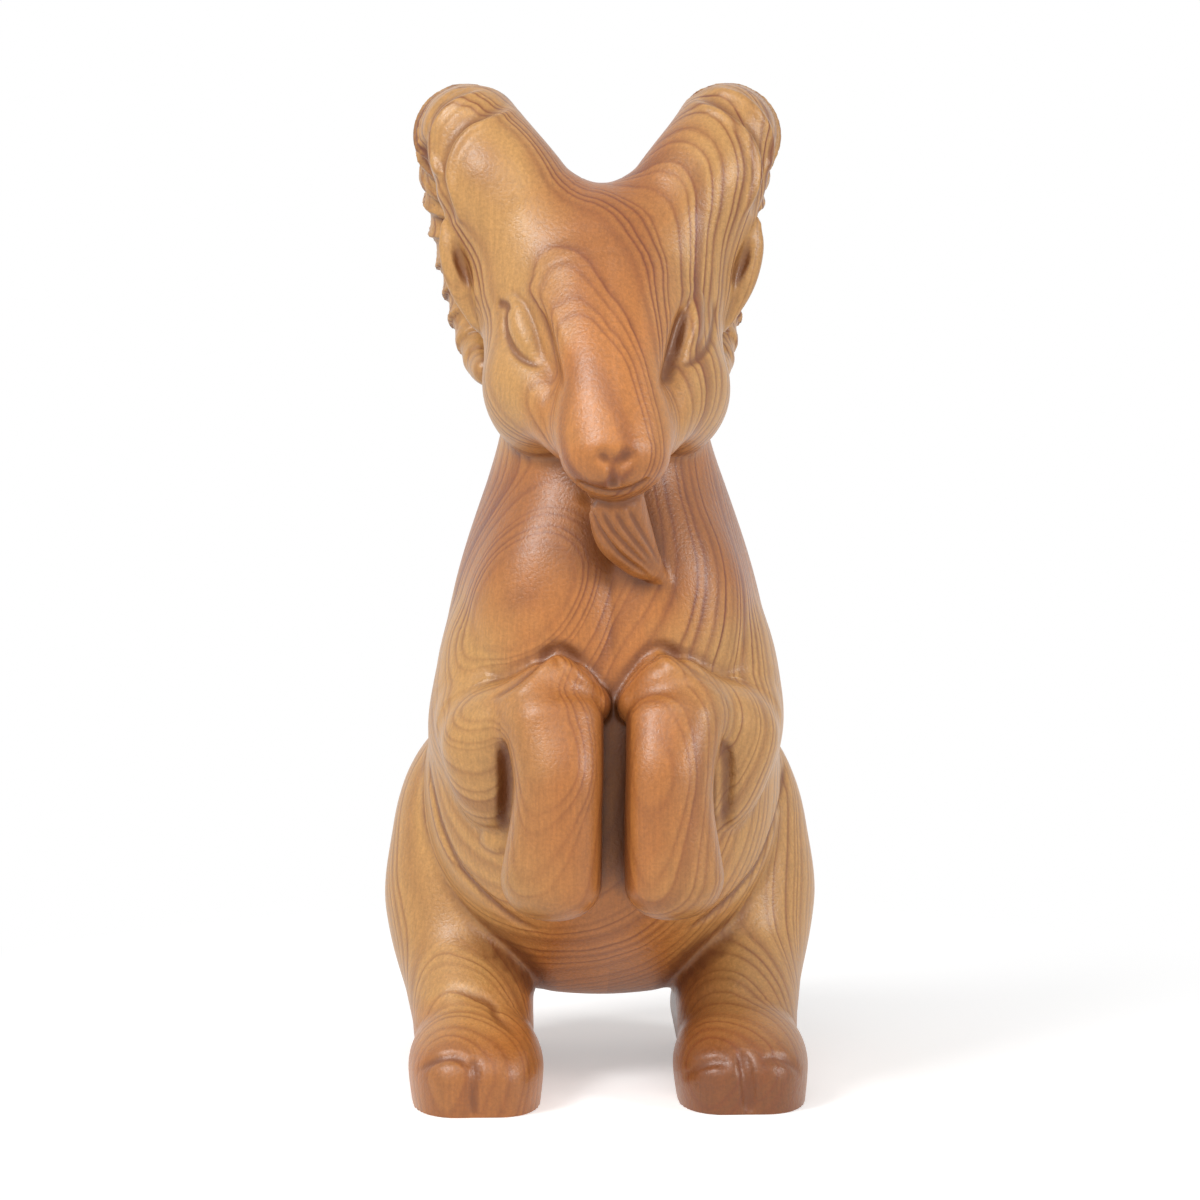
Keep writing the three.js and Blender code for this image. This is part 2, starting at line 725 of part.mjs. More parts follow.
// Follows a ray out of the piece, and tells whether its surface or a neighbour stops it.
function cast(piece, start, way) {
  const spot = point(0, 0, 0);
  const at = (t) => measure(piece, spot.copy(start).addScaledVector(way, t));
  const depthAt = (t) => {
    const { surface, ground } = at(t);
    return Math.max(surface, ground);
  };
  const leastStep = 0.05;
  const stepShare = 0.6; // of the depth under the surface
  const halvings = 18;
  let inside = 0;
  let depth = depthAt(0);
  if (depth >= 0) throw new Error(`the spine of the ${piece.name} leaves it`);
  let outside = leastStep;
  while ((depth = depthAt(outside)) < 0) {
    inside = outside;
    outside += Math.max(leastStep, -depth * stepShare);
  }
  for (let i = 0; i < halvings; i += 1) {
    const middle = (inside + outside) / 2;
    if (depthAt(middle) < 0) inside = middle;
    else outside = middle;
  }
  const { surface, ground } = at(inside);
  return { start, way, place: spot.clone(), parted: ground > surface, slid: Infinity };
}

// Where the skin of two neighbouring rays turns from the surface into a parting, the nearer one
// slides onto that edge, so the edge comes out clean.
function slideToEdge(piece, a, b) {
  if (a.parted === b.parted) return;
  const halvings = 7;
  let low = 0;
  let high = 1;
  let edge = a;
  for (let i = 0; i < halvings; i += 1) {
    const t = (low + high) / 2;
    edge = cast(piece, between(a.start, b.start, t), between(a.way, b.way, t).normalize());
    if (edge.parted === a.parted) low = t;
    else high = t;
  }
  const [mover, amount] = low < 0.5 ? [a, low] : [b, 1 - low];
  if (amount < mover.slid) {
    mover.slid = amount;
    mover.place = edge.place;
  }
}

const crosses = (a, b) => a.parted !== b.parted && a.slid === Infinity && b.slid === Infinity;

// Rays fan out over a half ball at each end of the spine and stand square to it in between.
function skin(piece) {
  const { spine, rings, sides } = piece;
  const line = spine.length === 2 ? new THREE.LineCurve3(...spine) : new THREE.CatmullRomCurve3(spine);
  const { tangents, normals, binormals } = line.computeFrenetFrames(rings, false);
  const capRings = Math.round(sides / 4) + 1;
  const rows = [];
  for (let i = 1 - capRings; i <= rings + capRings - 1; i += 1) {
    const station = THREE.MathUtils.clamp(i, 0, rings);
    const start = line.getPointAt(station / rings);
    const tilt = ((i - station) / capRings) * (Math.PI / 2);
    const row = [];
    for (let j = 0; j < sides; j += 1) {
      const turn = (2 * Math.PI * j) / sides;
      const way = normals[station].clone().multiplyScalar(Math.cos(turn));
      way.addScaledVector(binormals[station], Math.sin(turn)).multiplyScalar(Math.cos(tilt));
      way.addScaledVector(tangents[station], Math.sin(tilt));
      row.push(cast(piece, start, way));
    }
    rows.push(row);
  }
  rows.forEach((row, i) => {
    row.forEach((ray, j) => {
      slideToEdge(piece, ray, row[(j + 1) % sides]);
      if (i + 1 < rows.length) slideToEdge(piece, ray, rows[i + 1][j]);
    });
  });
  const rays = rows.flat();
  const points = rays.map((ray) => ray.place);
  const first = points.push(cast(piece, line.getPointAt(0), tangents[0].clone().negate()).place) - 1;
  const last = points.push(cast(piece, line.getPointAt(1), tangents[rings].clone()).place) - 1;
  const faces = [];
  for (let j = 0; j < sides; j += 1) {
    const next = (j + 1) % sides;
    faces.push(first, next, j);
    for (let i = 0; i + 1 < rows.length; i += 1) {
      const low = i * sides;
      const high = low + sides;
      const [a, b, c, d] = [low + j, low + next, high + next, high + j];
      if (crosses(rays[a], rays[c])) faces.push(a, b, d, b, c, d);
      else faces.push(a, b, c, a, c, d);
    }
    const top = (rows.length - 1) * sides;
    faces.push(top + j, top + next, last);
  }
  return new THREE.BufferGeometry().setFromPoints(points).setIndex(faces);
}

// Solids, for joining and cutting

function solidOf(geometry) {
  const bare = geometry.clone();
  bare.deleteAttribute("normal");
  bare.deleteAttribute("uv");
  const merged = mergeVertices(bare);
  return new wasm.Manifold(
    new wasm.Mesh({
      numProp: 3,
      vertProperties: new Float32Array(merged.attributes.position.array),
      triVerts: new Uint32Array(merged.index.array),
    }),
  );
}

function geometryOf(solid) {
  const { vertProperties, triVerts } = solid.getMesh();
  const geometry = new THREE.BufferGeometry();
  geometry.setAttribute("position", new THREE.BufferAttribute(vertProperties, 3));
  geometry.setIndex(new THREE.BufferAttribute(triVerts, 1));
  geometry.computeVertexNormals();
  return geometry;
}

// What is left of a piece after its cuts, without the crumbs.
const mainBody = (solid) => solid.decompose().reduce((a, b) => (b.volume() > a.volume() ? b : a));

// A round peg from one place to another, carried on past both ends by the same clearance.
function peg(from, to, radius, clearance = 0) {
  const axis = to.clone().sub(from);
  const length = axis.length() + 2 * clearance;
  const geometry = new THREE.CylinderGeometry(radius + clearance, radius + clearance, length, TENON_SIDES);
  geometry.applyQuaternion(new THREE.Quaternion().setFromUnitVectors(point(0, 1, 0), axis.clone().normalize()));
  geometry.translate(...between(from, to, 0.5).toArray());
  return solidOf(geometry);
}

// A skin grown outwards by the glue gap, to be cut out of a neighbour.
function swollen(geometry) {
  const grown = geometry.clone();
  grown.computeVertexNormals();
  const { position, normal } = grown.attributes;
  const corner = point(0, 0, 0);
  const outwards = point(0, 0, 0);
  for (let i = 0; i < position.count; i += 1) {
    outwards.fromBufferAttribute(normal, i);
    corner.fromBufferAttribute(position, i).addScaledVector(outwards, GLUE_GAP);
    position.setXYZ(i, ...corner.toArray());
  }
  return grown;
}

function mirrorImage(geometry) {
  const image = geometry.clone().scale(-1, 1, 1);
  image.index.array.reverse();
  return image;
}

const skins = pieces.map(skin);
const solids = new Map(pieces.map(({ name }, i) => [name, solidOf(skins[i])]));
const cut = (name, cutter) => solids.set(name, solids.get(name).subtract(cutter));

pieces.forEach(({ name, paired }, i) => {
  for (let j = i + 1; j < pieces.length; j += 1) {
    const neighbour = swollen(skins[j]);
    cut(name, solidOf(neighbour));
    if (pieces[j].paired && !paired) cut(name, solidOf(mirrorImage(neighbour)));
  }
});

// Tenons: each stands on a piece and sits in a blind socket of the piece that holds it
const tenons = [
  {
    piece: "head",
    holder: "torso",
    radius: NECK_TENON,
    from: between(skull, throat, 0.5),
    to: between(throat, neckFoot, 0.5),
  },
  { piece: "horn", holder: "head", radius: HORN_TENON, from: horn[1], to: between(horn[0], skull, 0.5) },
  {
    piece: "ear",
    holder: "head",
    radius: EAR_TENON,
    from: moved(between(earRoot, earTip, 0.3), 0, EAR_HALF_WIDTH / 5, 0),
    to: between(earRoot, skull, 0.3),
  },
  {
    piece: "beard",
    holder: "head",
    radius: BEARD_TENON,
    from: between(beardRoot, beardTip, 0.3),
    to: between(beardRoot, muzzle, 0.6),
  },
  {
    piece: "shoulder",
    holder: "torso",
    radius: SHOULDER_TENON,
    from: moved(shoulder, SHOULDER_HALF_WIDTH / 3, 0, 0),
    to: between(shoulder, trunk, 0.6),
  },
  {
    piece: "forearm",
    holder: "shoulder",
    radius: FORELEG_TENON,
    from: forearmLine()[1],
    to: moved(between(elbow, shoulder, 0.4), SHOULDER_HALF_WIDTH * 0.4, 0, 0),
  },
  {
    piece: "forefoot",
    holder: "forearm",
    radius: FORELEG_TENON,
    from: moved(between(knee, forehoof, 0.2), 0, -KNEE_RADIUS / 4, 0),
    to: between(knee, elbow, 0.4),
  },
  {
    piece: "haunch",
    holder: "torso",
    radius: HAUNCH_TENON,
    from: moved(haunch, HAUNCH_HALF_WIDTH / 5, 0, 0),
    to: between(haunch, rump, 0.7),
  },
  {
    piece: "hind_foot",
    holder: "haunch",
    radius: FOOT_TENON,
    from: point(STANCE, instep.y + SHIN_RADIUS / 2, hoof.z),
    to: moved(between(stifle, instep, 0.2), 0, SHIN_RADIUS / 2, 0),
  },
  {
    piece: "tail",
    holder: "torso",
    radius: TAIL_TENON,
    from: moved(between(tailRoot, tailTip, 0.4), 0, TAIL_RADIUS / 6, 0),
    to: between(tailRoot, rump, 0.5),
  },
];
const isPaired = new Map(pieces.map(({ name, paired }) => [name, paired]));
for (const { piece, holder, radius, from, to } of tenons) {
  cut(holder, peg(from, to, radius, GLUE_GAP));
  if (isPaired.get(piece) && !isPaired.get(holder)) cut(holder, peg(mirrored(from), mirrored(to), radius, GLUE_GAP));
  solids.set(piece, solids.get(piece).add(peg(from, to, radius)));
}

// Flat soles
const floorWidth = 4 * (STANCE + HOOF_HALF_WIDTH + FOOT_RADIUS);
const floorLength = 4 * (FOOT_HEEL_BACK + FOOT_RADIUS + HOOF_FORWARD + HOOF_TOE);
const floorDepth = 4 * (SOLE_DEPTH + FOOT_RADIUS);
const floor = new THREE.BoxGeometry(floorWidth, floorLength, floorDepth).translate(0, 0, -floorDepth / 2);
cut("hind_foot", solidOf(floor));

// The figure: one mesh for each piece, in oiled wood

const wood = new THREE.MeshStandardMaterial({ color: 0xc68d52, roughness: 0.42, metalness: 0 });
const goat = new THREE.Group();

function addMesh(name, geometry, side = 1) {
  const mesh = new THREE.Mesh(geometry, wood.clone());
  mesh.name = name;
  mesh.scale.x = side;
  goat.add(mesh);
}

for (const { name, paired } of pieces) {
  const geometry = geometryOf(mainBody(solids.get(name)));
  if (paired) {
    addMesh(`left_${name}`, geometry);
    addMesh(`right_${name}`, geometry, -1);
  } else {
    addMesh(name, geometry);
  }
}

const outline = new THREE.Box3().setFromObject(goat);
goat.position.y = -(outline.min.y + outline.max.y) / 2;

export default goat;
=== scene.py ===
"""A goat figurine carved in lacquered wood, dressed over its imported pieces.

Every piece is carved from rough forms like those of the solids, as a smooth field of distances in
millimetres, so its skin runs on into its neighbours' as in a figure cut from one block. Marks of
the gouge are then cut along lines that are given as pixels of the photograph.
"""
import json
import math
from functools import lru_cache
from typing import NamedTuple

import bpy
import numpy as np
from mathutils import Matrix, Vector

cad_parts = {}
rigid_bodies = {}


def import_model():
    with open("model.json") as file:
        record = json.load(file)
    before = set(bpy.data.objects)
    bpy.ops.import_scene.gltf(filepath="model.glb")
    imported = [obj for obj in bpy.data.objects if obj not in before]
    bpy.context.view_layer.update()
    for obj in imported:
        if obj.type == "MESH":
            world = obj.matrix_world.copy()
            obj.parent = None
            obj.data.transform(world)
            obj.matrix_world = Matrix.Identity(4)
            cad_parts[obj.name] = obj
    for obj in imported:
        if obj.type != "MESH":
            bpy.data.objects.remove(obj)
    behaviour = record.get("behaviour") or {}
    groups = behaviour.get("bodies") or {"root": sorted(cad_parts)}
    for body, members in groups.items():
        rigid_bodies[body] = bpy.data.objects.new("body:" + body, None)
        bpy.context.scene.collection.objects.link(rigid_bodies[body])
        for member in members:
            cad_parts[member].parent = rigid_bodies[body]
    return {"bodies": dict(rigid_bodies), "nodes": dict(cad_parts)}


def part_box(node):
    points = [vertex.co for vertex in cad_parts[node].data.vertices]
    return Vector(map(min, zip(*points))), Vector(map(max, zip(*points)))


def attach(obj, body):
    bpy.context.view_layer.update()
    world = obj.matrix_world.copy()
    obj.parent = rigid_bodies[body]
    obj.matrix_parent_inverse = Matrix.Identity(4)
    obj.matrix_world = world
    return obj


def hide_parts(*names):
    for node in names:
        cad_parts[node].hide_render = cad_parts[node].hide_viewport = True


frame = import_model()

import openvdb
from mathutils import Vector

bl_info = {
    "name": "Carved Goat Figurine",
    "version": (1, 0, 0),
    "blender": (4, 5, 0),
    "location": "View3D > Sidebar > Goat",
    "description": "Carves a sitting goat in lacquered wood over its packed pieces",
    "category": "Add Mesh",
}

MM = 0.001
BODY = "root"

# The photograph's camera, whose rays also place the carved marks
PHOTO_SIDE = 1200
SENSOR = 36.0
LENS = 179.6
CAMERA_AIM = np.array((-0.4, 0.0, 48.0))
CAMERA_DISTANCE = 600.0
CAMERA_AZIMUTH = -3.0
CAMERA_ELEVATION = 8.0


def clear_default_scene():
    """Removes what Blender starts with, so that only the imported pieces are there."""
    kept = set(frame["nodes"].values()) | set(frame["bodies"].values())
    for thing in list(bpy.data.objects):
        if thing not in kept:
            bpy.data.objects.remove(thing)


clear_default_scene()
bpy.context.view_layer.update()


# Fields: the distance in millimetres from a form's surface to each point, negative inside

BEYOND = 9.0  # further away than this a form has no part in what happens at a point


def length_of(x, y, z):
    return np.sqrt(x * x + y * y + z * z)


def egg(at, side, front, back, up, down):
    """An egg with its own reach to the front, the back, up and down."""
    def field(x, y, z):
        dy = y - at[1]
        dz = z - at[2]
        ry = np.where(dy < 0, np.float32(front), np.float32(back))
        rz = np.where(dz < 0, np.float32(down), np.float32(up))
        a = (x - at[0]) / side
        b = dy / ry
        c = dz / rz
        reach = length_of(a, b, c)
        slope = length_of(a / side, b / ry, c / rz)
        return reach * (reach - 1) / np.maximum(slope, 1e-4)
    return field


def smooth_line(points, count):
    """Points spread evenly along a smooth curve through the given ones."""
    knots = np.array(points, float)
    knots = np.vstack((2 * knots[0] - knots[1], knots, 2 * knots[-1] - knots[-2]))
    spots = np.linspace(0, len(knots) - 3, count)
    lower = np.minimum(spots.astype(int), len(knots) - 4)
    t = (spots - lower)[:, None]
    a, b, c, d = (knots[lower + i] for i in range(4))
    return b + t * (c - a + t * (2 * a - 5 * b + 4 * c - d + t * (3 * (b - c) + d - a))) / 2


def limb(*stations, stretches=72, raised=None):
    """A round limb through stations, each a place and a radius.

    Where it is given, raised tells how far the skin stands out at each share of the limb's length.
    """
    line = smooth_line([(*place, radius) for place, radius in stations], stretches + 1)
    middle = line[:, :3].mean(axis=0)
    reach = np.linalg.norm(line[:, :3] - middle, axis=1).max() + line[:, 3].max()
    line = line.astype(np.float32)

    def field(x, y, z):
        shape = np.broadcast_shapes(np.shape(x), np.shape(y), np.shape(z))
        least = (length_of(x - middle[0], y - middle[1], z - middle[2]) - reach).astype(np.float32)
        near = np.flatnonzero(least < BEYOND)
        px, py, pz = (np.broadcast_to(v, shape).ravel()[near] for v in (x, y, z))
        best = np.full(len(near), 1e3, np.float32)
        share = np.zeros(len(near), np.float32)
        for i, (start, end) in enumerate(zip(line, line[1:])):
            way = end - start
            dx, dy, dz = px - start[0], py - start[1], pz - start[2]
            t = (dx * way[0] + dy * way[1] + dz * way[2]) / np.dot(way[:3], way[:3])
            t = np.clip(t, 0, 1)
            gap = length_of(dx - t * way[0], dy - t * way[1], dz - t * way[2]) - start[3] - t * way[3]
            closer = gap < best
            best[closer] = gap[closer]
            share[closer] = (i + t[closer]) / stretches
        if raised:
            best -= raised(share).astype(np.float32)
        least.ravel()[near] = best
        return least
    return field


def fillet(a, b, width):
    """The wood that fills the corner between two forms, as deep as a quarter of its width."""
    near = np.maximum(width - np.abs(a - b), 0) / width
    return near * near * (width / 4)


def melt(width, *fields):
    """Forms joined with round corners between them."""
    def field(x, y, z):
        total = fields[0](x, y, z)
        for other in fields[1:]:
            depth = other(x, y, z)
            total = np.minimum(total, depth) - fillet(total, depth, width)
        return total
    return field


def hollow(width, field, cutter):
    """A form with another cut out of it, and a round edge to the cut."""
    def cut(x, y, z):
        inside = -field(x, y, z)
        tool = cutter(x, y, z)
        return fillet(inside, tool, width) - np.minimum(inside, tool)
    return cut


def both(field):
    """The same form on both sides of the figure, given its left one."""
    return lambda x, y, z: field(np.abs(x), y, z)


def mirrored(field):
    return lambda x, y, z: field(-x, y, z)


def pressed(field, middle, factor):
    """A form pressed flat from front to back about a plane, or drawn out by a factor under 1."""
    return lambda x, y, z: field(x, middle + (y - middle) * factor, z) / max(1.0, factor)


# Rough forms, by place and size in millimetres. A paired form is the one on the goat's left.

def torso_form():
    trunk = egg((0, -1.1, 35.5), side=16.9, front=14.0, back=14.5, up=31.4, down=24.0)
    breast = egg((5.0, -9.2, 46.0), side=8.0, front=6.4, back=6.4, up=13.0, down=10.0)
    belly = egg((0, -2.6, 26.5), side=17.0, front=14.6, back=14.5, up=18.0, down=15.7)
    rump = egg((0, 8.9, 23.5), side=14.5, front=13.0, back=13.0, up=17.0, down=16.3)
    groin = limb(((4.6, -2.6, 14.2), 4.6), ((-4.6, -2.6, 14.2), 4.6))
    neck = limb(((0, 0.4, 51.0), 11.0), ((0, -2.1, 69.0), 9.8))
    return melt(5.0, trunk, both(breast), belly, rump, groin, neck)


def head_form():
    skull = egg((0, -4.1, 77.5), side=12.0, front=9.6, back=10.0, up=12.6, down=10.0)
    cheek = egg((5.8, -7.2, 69.8), side=6.2, front=7.2, back=9.0, up=8.6, down=6.7)
    bridge_edge = limb(
        ((2.8, -9.0, 79.6), 5.2), ((2.1, -16.4, 73.2), 3.1),
        ((2.3, -19.0, 67.6), 3.5), ((2.0, -20.4, 65.2), 3.3),
    )
    bridge = limb(
        ((0, -8.6, 79.6), 5.8), ((0, -16.5, 73.2), 3.7),
        ((0, -19.8, 67.8), 3.9), ((0, -21.0, 65.4), 4.0),
    )
    jaw = limb(((0, -7.6, 68.4), 5.2), ((0, -19.2, 64.3), 3.9))
    jowl = limb(((6.6, -9.0, 71.0), 4.9), ((5.3, -12.6, 69.4), 4.2), ((3.7, -16.2, 67.0), 3.2))
    face = melt(2.5, skull, both(melt(2.0, cheek, jowl)))
    eye = limb(
        ((8.9, -9.9, 79.0), 0.7), ((8.3, -10.6, 77.8), 1.3), ((7.9, -11.3, 76.4), 1.6),
        ((7.4, -12.3, 75.0), 1.35), ((7.0, -13.3, 73.9), 0.7),
    )
    return melt(0.4, melt(1.2, face, melt(2.0, both(bridge_edge), bridge), jaw), both(eye))


def horn_form(sizes):
    """The horn rises out of the brow, turns over and comes down behind the ear, ribbed on its curl."""
    count = 97
    line = smooth_line((
        (4.9, -3.6, 82.5), (8.1, -2.3, 88.1), (11.1, 0.1, 92.3), (12.8, 3.7, 94.5),
        (13.0, 7.9, 92.9), (12.9, 11.4, 88.7), (12.5, 12.3, 83.7), (12.0, 11.1, 78.9),
        (11.7, 8.1, 74.2), (11.5, 4.5, 71.6), (11.3, 1.7, 71.0),
    ), count)
    steps = np.linalg.norm(np.diff(line, axis=0), axis=1)
    along = np.concatenate(((0,), np.cumsum(steps)))
    t = along / along[-1]
    root, crown, tip = 6.2, 5.15, 1.6
    crown_at, taper = 0.3, 1.4
    thick = np.where(
        t < crown_at,
        root + (crown - root) * t / crown_at,
        crown + (tip - crown) * (np.maximum(t - crown_at, 0) / (1 - crown_at)) ** taper,
    )
    pitch = sizes.rib_pitch / MM
    first_lip = 19.0  # how far along the horn the ribs of its curl begin
    rib_lip = 0.78  # share of a rib's pitch where it is highest, before it drops to the next
    rib_groove = 0.4  # share of a rib's height that lies under the smooth horn
    rib_fades = (first_lip - pitch, first_lip - 0.4 * pitch, 0.85 * along[-1], along[-1])

    def ribs(share):
        spot = np.interp(share * (count - 1), np.arange(count), along)
        ease = np.interp(spot, rib_fades, (0, 1, 1, 0))
        turn = ((spot - first_lip) / pitch + rib_lip) % 1
        wave = np.where(turn < rib_lip, (turn / rib_lip) ** 2, (1 - turn) / (1 - rib_lip))
        height = sizes.rib_height / MM * np.interp(share, (0, crown_at, 1), (1, 1, tip / crown))
        return ease * height * (wave - rib_groove)

    curl = limb(*zip(line, thick), stretches=count - 1, raised=ribs)
    temple = limb(
        ((8.6, -4.6, 79.0), 3.0), ((9.3, -3.6, 82.0), 3.0),
        ((10.4, -2.6, 85.5), 3.3), ((11.6, -1.2, 89.5), 4.2),
    )
    return melt(3.0, curl, temple)


def ear_form():
    """A leaf, pressed flat, with a dish cut into its front."""
    root, tip = np.array((11.95, -3.4, 76.9)), np.array((15.5, -1.8, 85.7))
    half_width = 2.0
    outline = ((0, 0.7), (0.38, 1), (0.72, 0.8), (1, 0.2))  # shares of the length and of the half width
    flatness = 1.6
    dish_edge = 0.3
    forward = np.array((0.65, 1.9, 0))

    def along(t):
        return root + (tip - root) * t

    leaf = limb(*((along(t), half_width * wide) for t, wide in outline))
    dish = limb((along(0.25) - forward, 0.9), (along(0.6) - forward, 1.3), (along(0.85) - forward, 0.95))
    return hollow(dish_edge, pressed(leaf, along(0.5)[1], flatness), dish)


def beard_form():
    lock = limb(
        ((0.1, -18.6, 60.6), 2.7), ((0.4, -17.8, 58.7), 2.85), ((0.95, -17.1, 56.8), 2.8),
        ((2.3, -16.2, 54.6), 2.1), ((3.6, -15.5, 53.3), 1.3), ((4.9, -15.0, 52.1), 0.4),
    )
    return pressed(lock, -16.8, 1.15)


def shoulder_form():
    blade = egg((11.4, -4.6, 36.5), side=6.0, front=9.0, back=9.0, up=13.5, down=8.4)
    arm = limb(((11.4, -4.6, 36.5), 4.9), ((10.8, -11.0, 32.0), 4.0))
    return melt(3.0, blade, arm)


def forearm_form():
    elbow = egg((10.0, -12.5, 35.0), side=6.1, front=5.0, back=6.0, up=6.4, down=8.6)
    roof = limb(
        ((12.4, -13.0, 36.8), 2.8), ((9.4, -15.9, 38.9), 3.0),
        ((5.5, -17.6, 42.4), 2.5), ((2.5, -16.8, 40.0), 2.2),
    )
    return melt(4.0, elbow, roof)


def forefoot_form():
    inner_edge = limb(
        ((4.1, -19.4, 38.4), 3.0), ((4.2, -21.6, 34.0), 3.1),
        ((4.2, -21.8, 29.7), 3.1), ((4.4, -21.6, 23.2), 3.3),
    )
    outer_edge = limb(
        ((6.9, -18.8, 38.5), 3.9), ((6.2, -20.6, 34.0), 3.6),
        ((6.3, -20.9, 29.7), 3.6), ((6.9, -20.6, 23.6), 4.0),
    )
    return melt(2.0, inner_edge, outer_edge)


def haunch_form():
    thigh = egg((12.8, 2.6, 20.6), side=8.4, front=7.8, back=15.2, up=15.5, down=15.0)
    shin = limb(((13.6, 1.8, 17.0), 6.9), ((13.5, -2.2, 11.6), 6.6), ((13.2, -7.8, 7.4), 6.0))
    return melt(4.0, thigh, shin)


def hind_foot_form():
    sole = limb(((13.1, 10.9, 4.6), 5.4), ((13.1, -1.9, 4.2), 5.6), ((13.1, -12.0, 4.2), 5.7))
    inner_toe = egg((10.9, -15.2, 3.2), side=4.2, front=6.6, back=7.0, up=4.6, down=12.0)
    outer_toe = egg((15.3, -15.2, 3.2), side=4.2, front=6.6, back=7.0, up=4.6, down=12.0)
    return melt(3.0, sole, inner_toe, outer_toe)


def tail_form():
    return limb(((0, 20.1, 18.0), 3.0), ((0, 23.7, 23.0), 2.7), ((0, 25.6, 28.0), 0.8))


# The figure: every piece's form, and how the corners between them are filled

def paired(name, form):
    return [("left_" + name, form), ("right_" + name, mirrored(form))]


@lru_cache(maxsize=1)
def figure_forms():
    sizes = bpy.context.scene.goat_carving
    return [
        ("torso", torso_form()),
        ("head", head_form()),
        *paired("horn", horn_form(sizes)),
        *paired("ear", ear_form()),
        ("beard", beard_form()),
        *paired("shoulder", shoulder_form()),
        *paired("forearm", forearm_form()),
        *paired("forefoot", forefoot_form()),
        *paired("haunch", haunch_form()),
        *paired("hind_foot", hind_foot_form()),
        ("tail", tail_form()),
    ]


class SoftSpot(NamedTuple):
    """A place, on both sides of the figure, where one form runs smoothly into the next."""

    place: tuple
    reach: float
    width: float


CORNER = 0.8  # width of the corner between two forms elsewhere
SOFT_SPOTS = (
    SoftSpot((6.0, -4.0, 84.0), 7.0, 4.5),
    SoftSpot((3.5, -2.5, 89.5), 3.0, 2.0),
    SoftSpot((14.0, -6.0, 43.0), 6.0, 2.0),
    SoftSpot((15.0, -9.8, 38.0), 3.5, 4.0),
    SoftSpot((8.5, -19.0, 40.0), 3.5, 3.0),
    SoftSpot((13.1, -8.0, 9.0), 5.0, 3.0),
    SoftSpot((0.0, 0.0, 64.0), 5.0, 2.0),
)
TONGUE = 0.4  # how far a piece runs on under its neighbour's skin


def corner_width(x, y, z):
    width = CORNER
    for spot in SOFT_SPOTS:
        gap = length_of(np.abs(x) - spot.place[0], y - spot.place[1], z - spot.place[2]) / spot.reach
        width = width + (spot.width - CORNER) * np.exp(-gap * gap)
    return width


def skin_over(name, depths, width):
    """A piece's form with the corners filled that it makes with the others."""
    own = depths[name]
    skin = own.copy()
    for other, depth in depths.items():
        if other != name:
            skin -= fillet(own, depth, width)
    return skin


# The carver's figure isn't quite upright: how far it leans to its left, by height
LEAN_HEIGHTS = (0.0, 30.0, 42.0, 60.0, 68.0, 75.0, 100.0)
LEAN = (-0.3, -0.25, 0.15, 0.1, -0.1, -0.4, -0.35)


def form_depths(x, y, z):
    """The distance to every form, and the width of the corners between them."""
    x = x - np.interp(z, LEAN_HEIGHTS, LEAN).astype(np.float32)
    return {name: form(x, y, z) for name, form in figure_forms()}, corner_width(x, y, z)


def figure_field(x, y, z):
    """The whole figure's skin, without the marks."""
    depths, width = form_depths(x, y, z)
    return np.minimum.reduce([skin_over(name, depths, width) for name in depths])


# Marks of the gouge, along lines that are given as pixels of the photograph

class PhotoMark(NamedTuple):
    """A mark as the photograph shows it, with its width and height in millimetres.

    The left and the right in its name are the goat's own.
    """

    name: str
    width: float
    height: float
    ease: float
    pixels: tuple


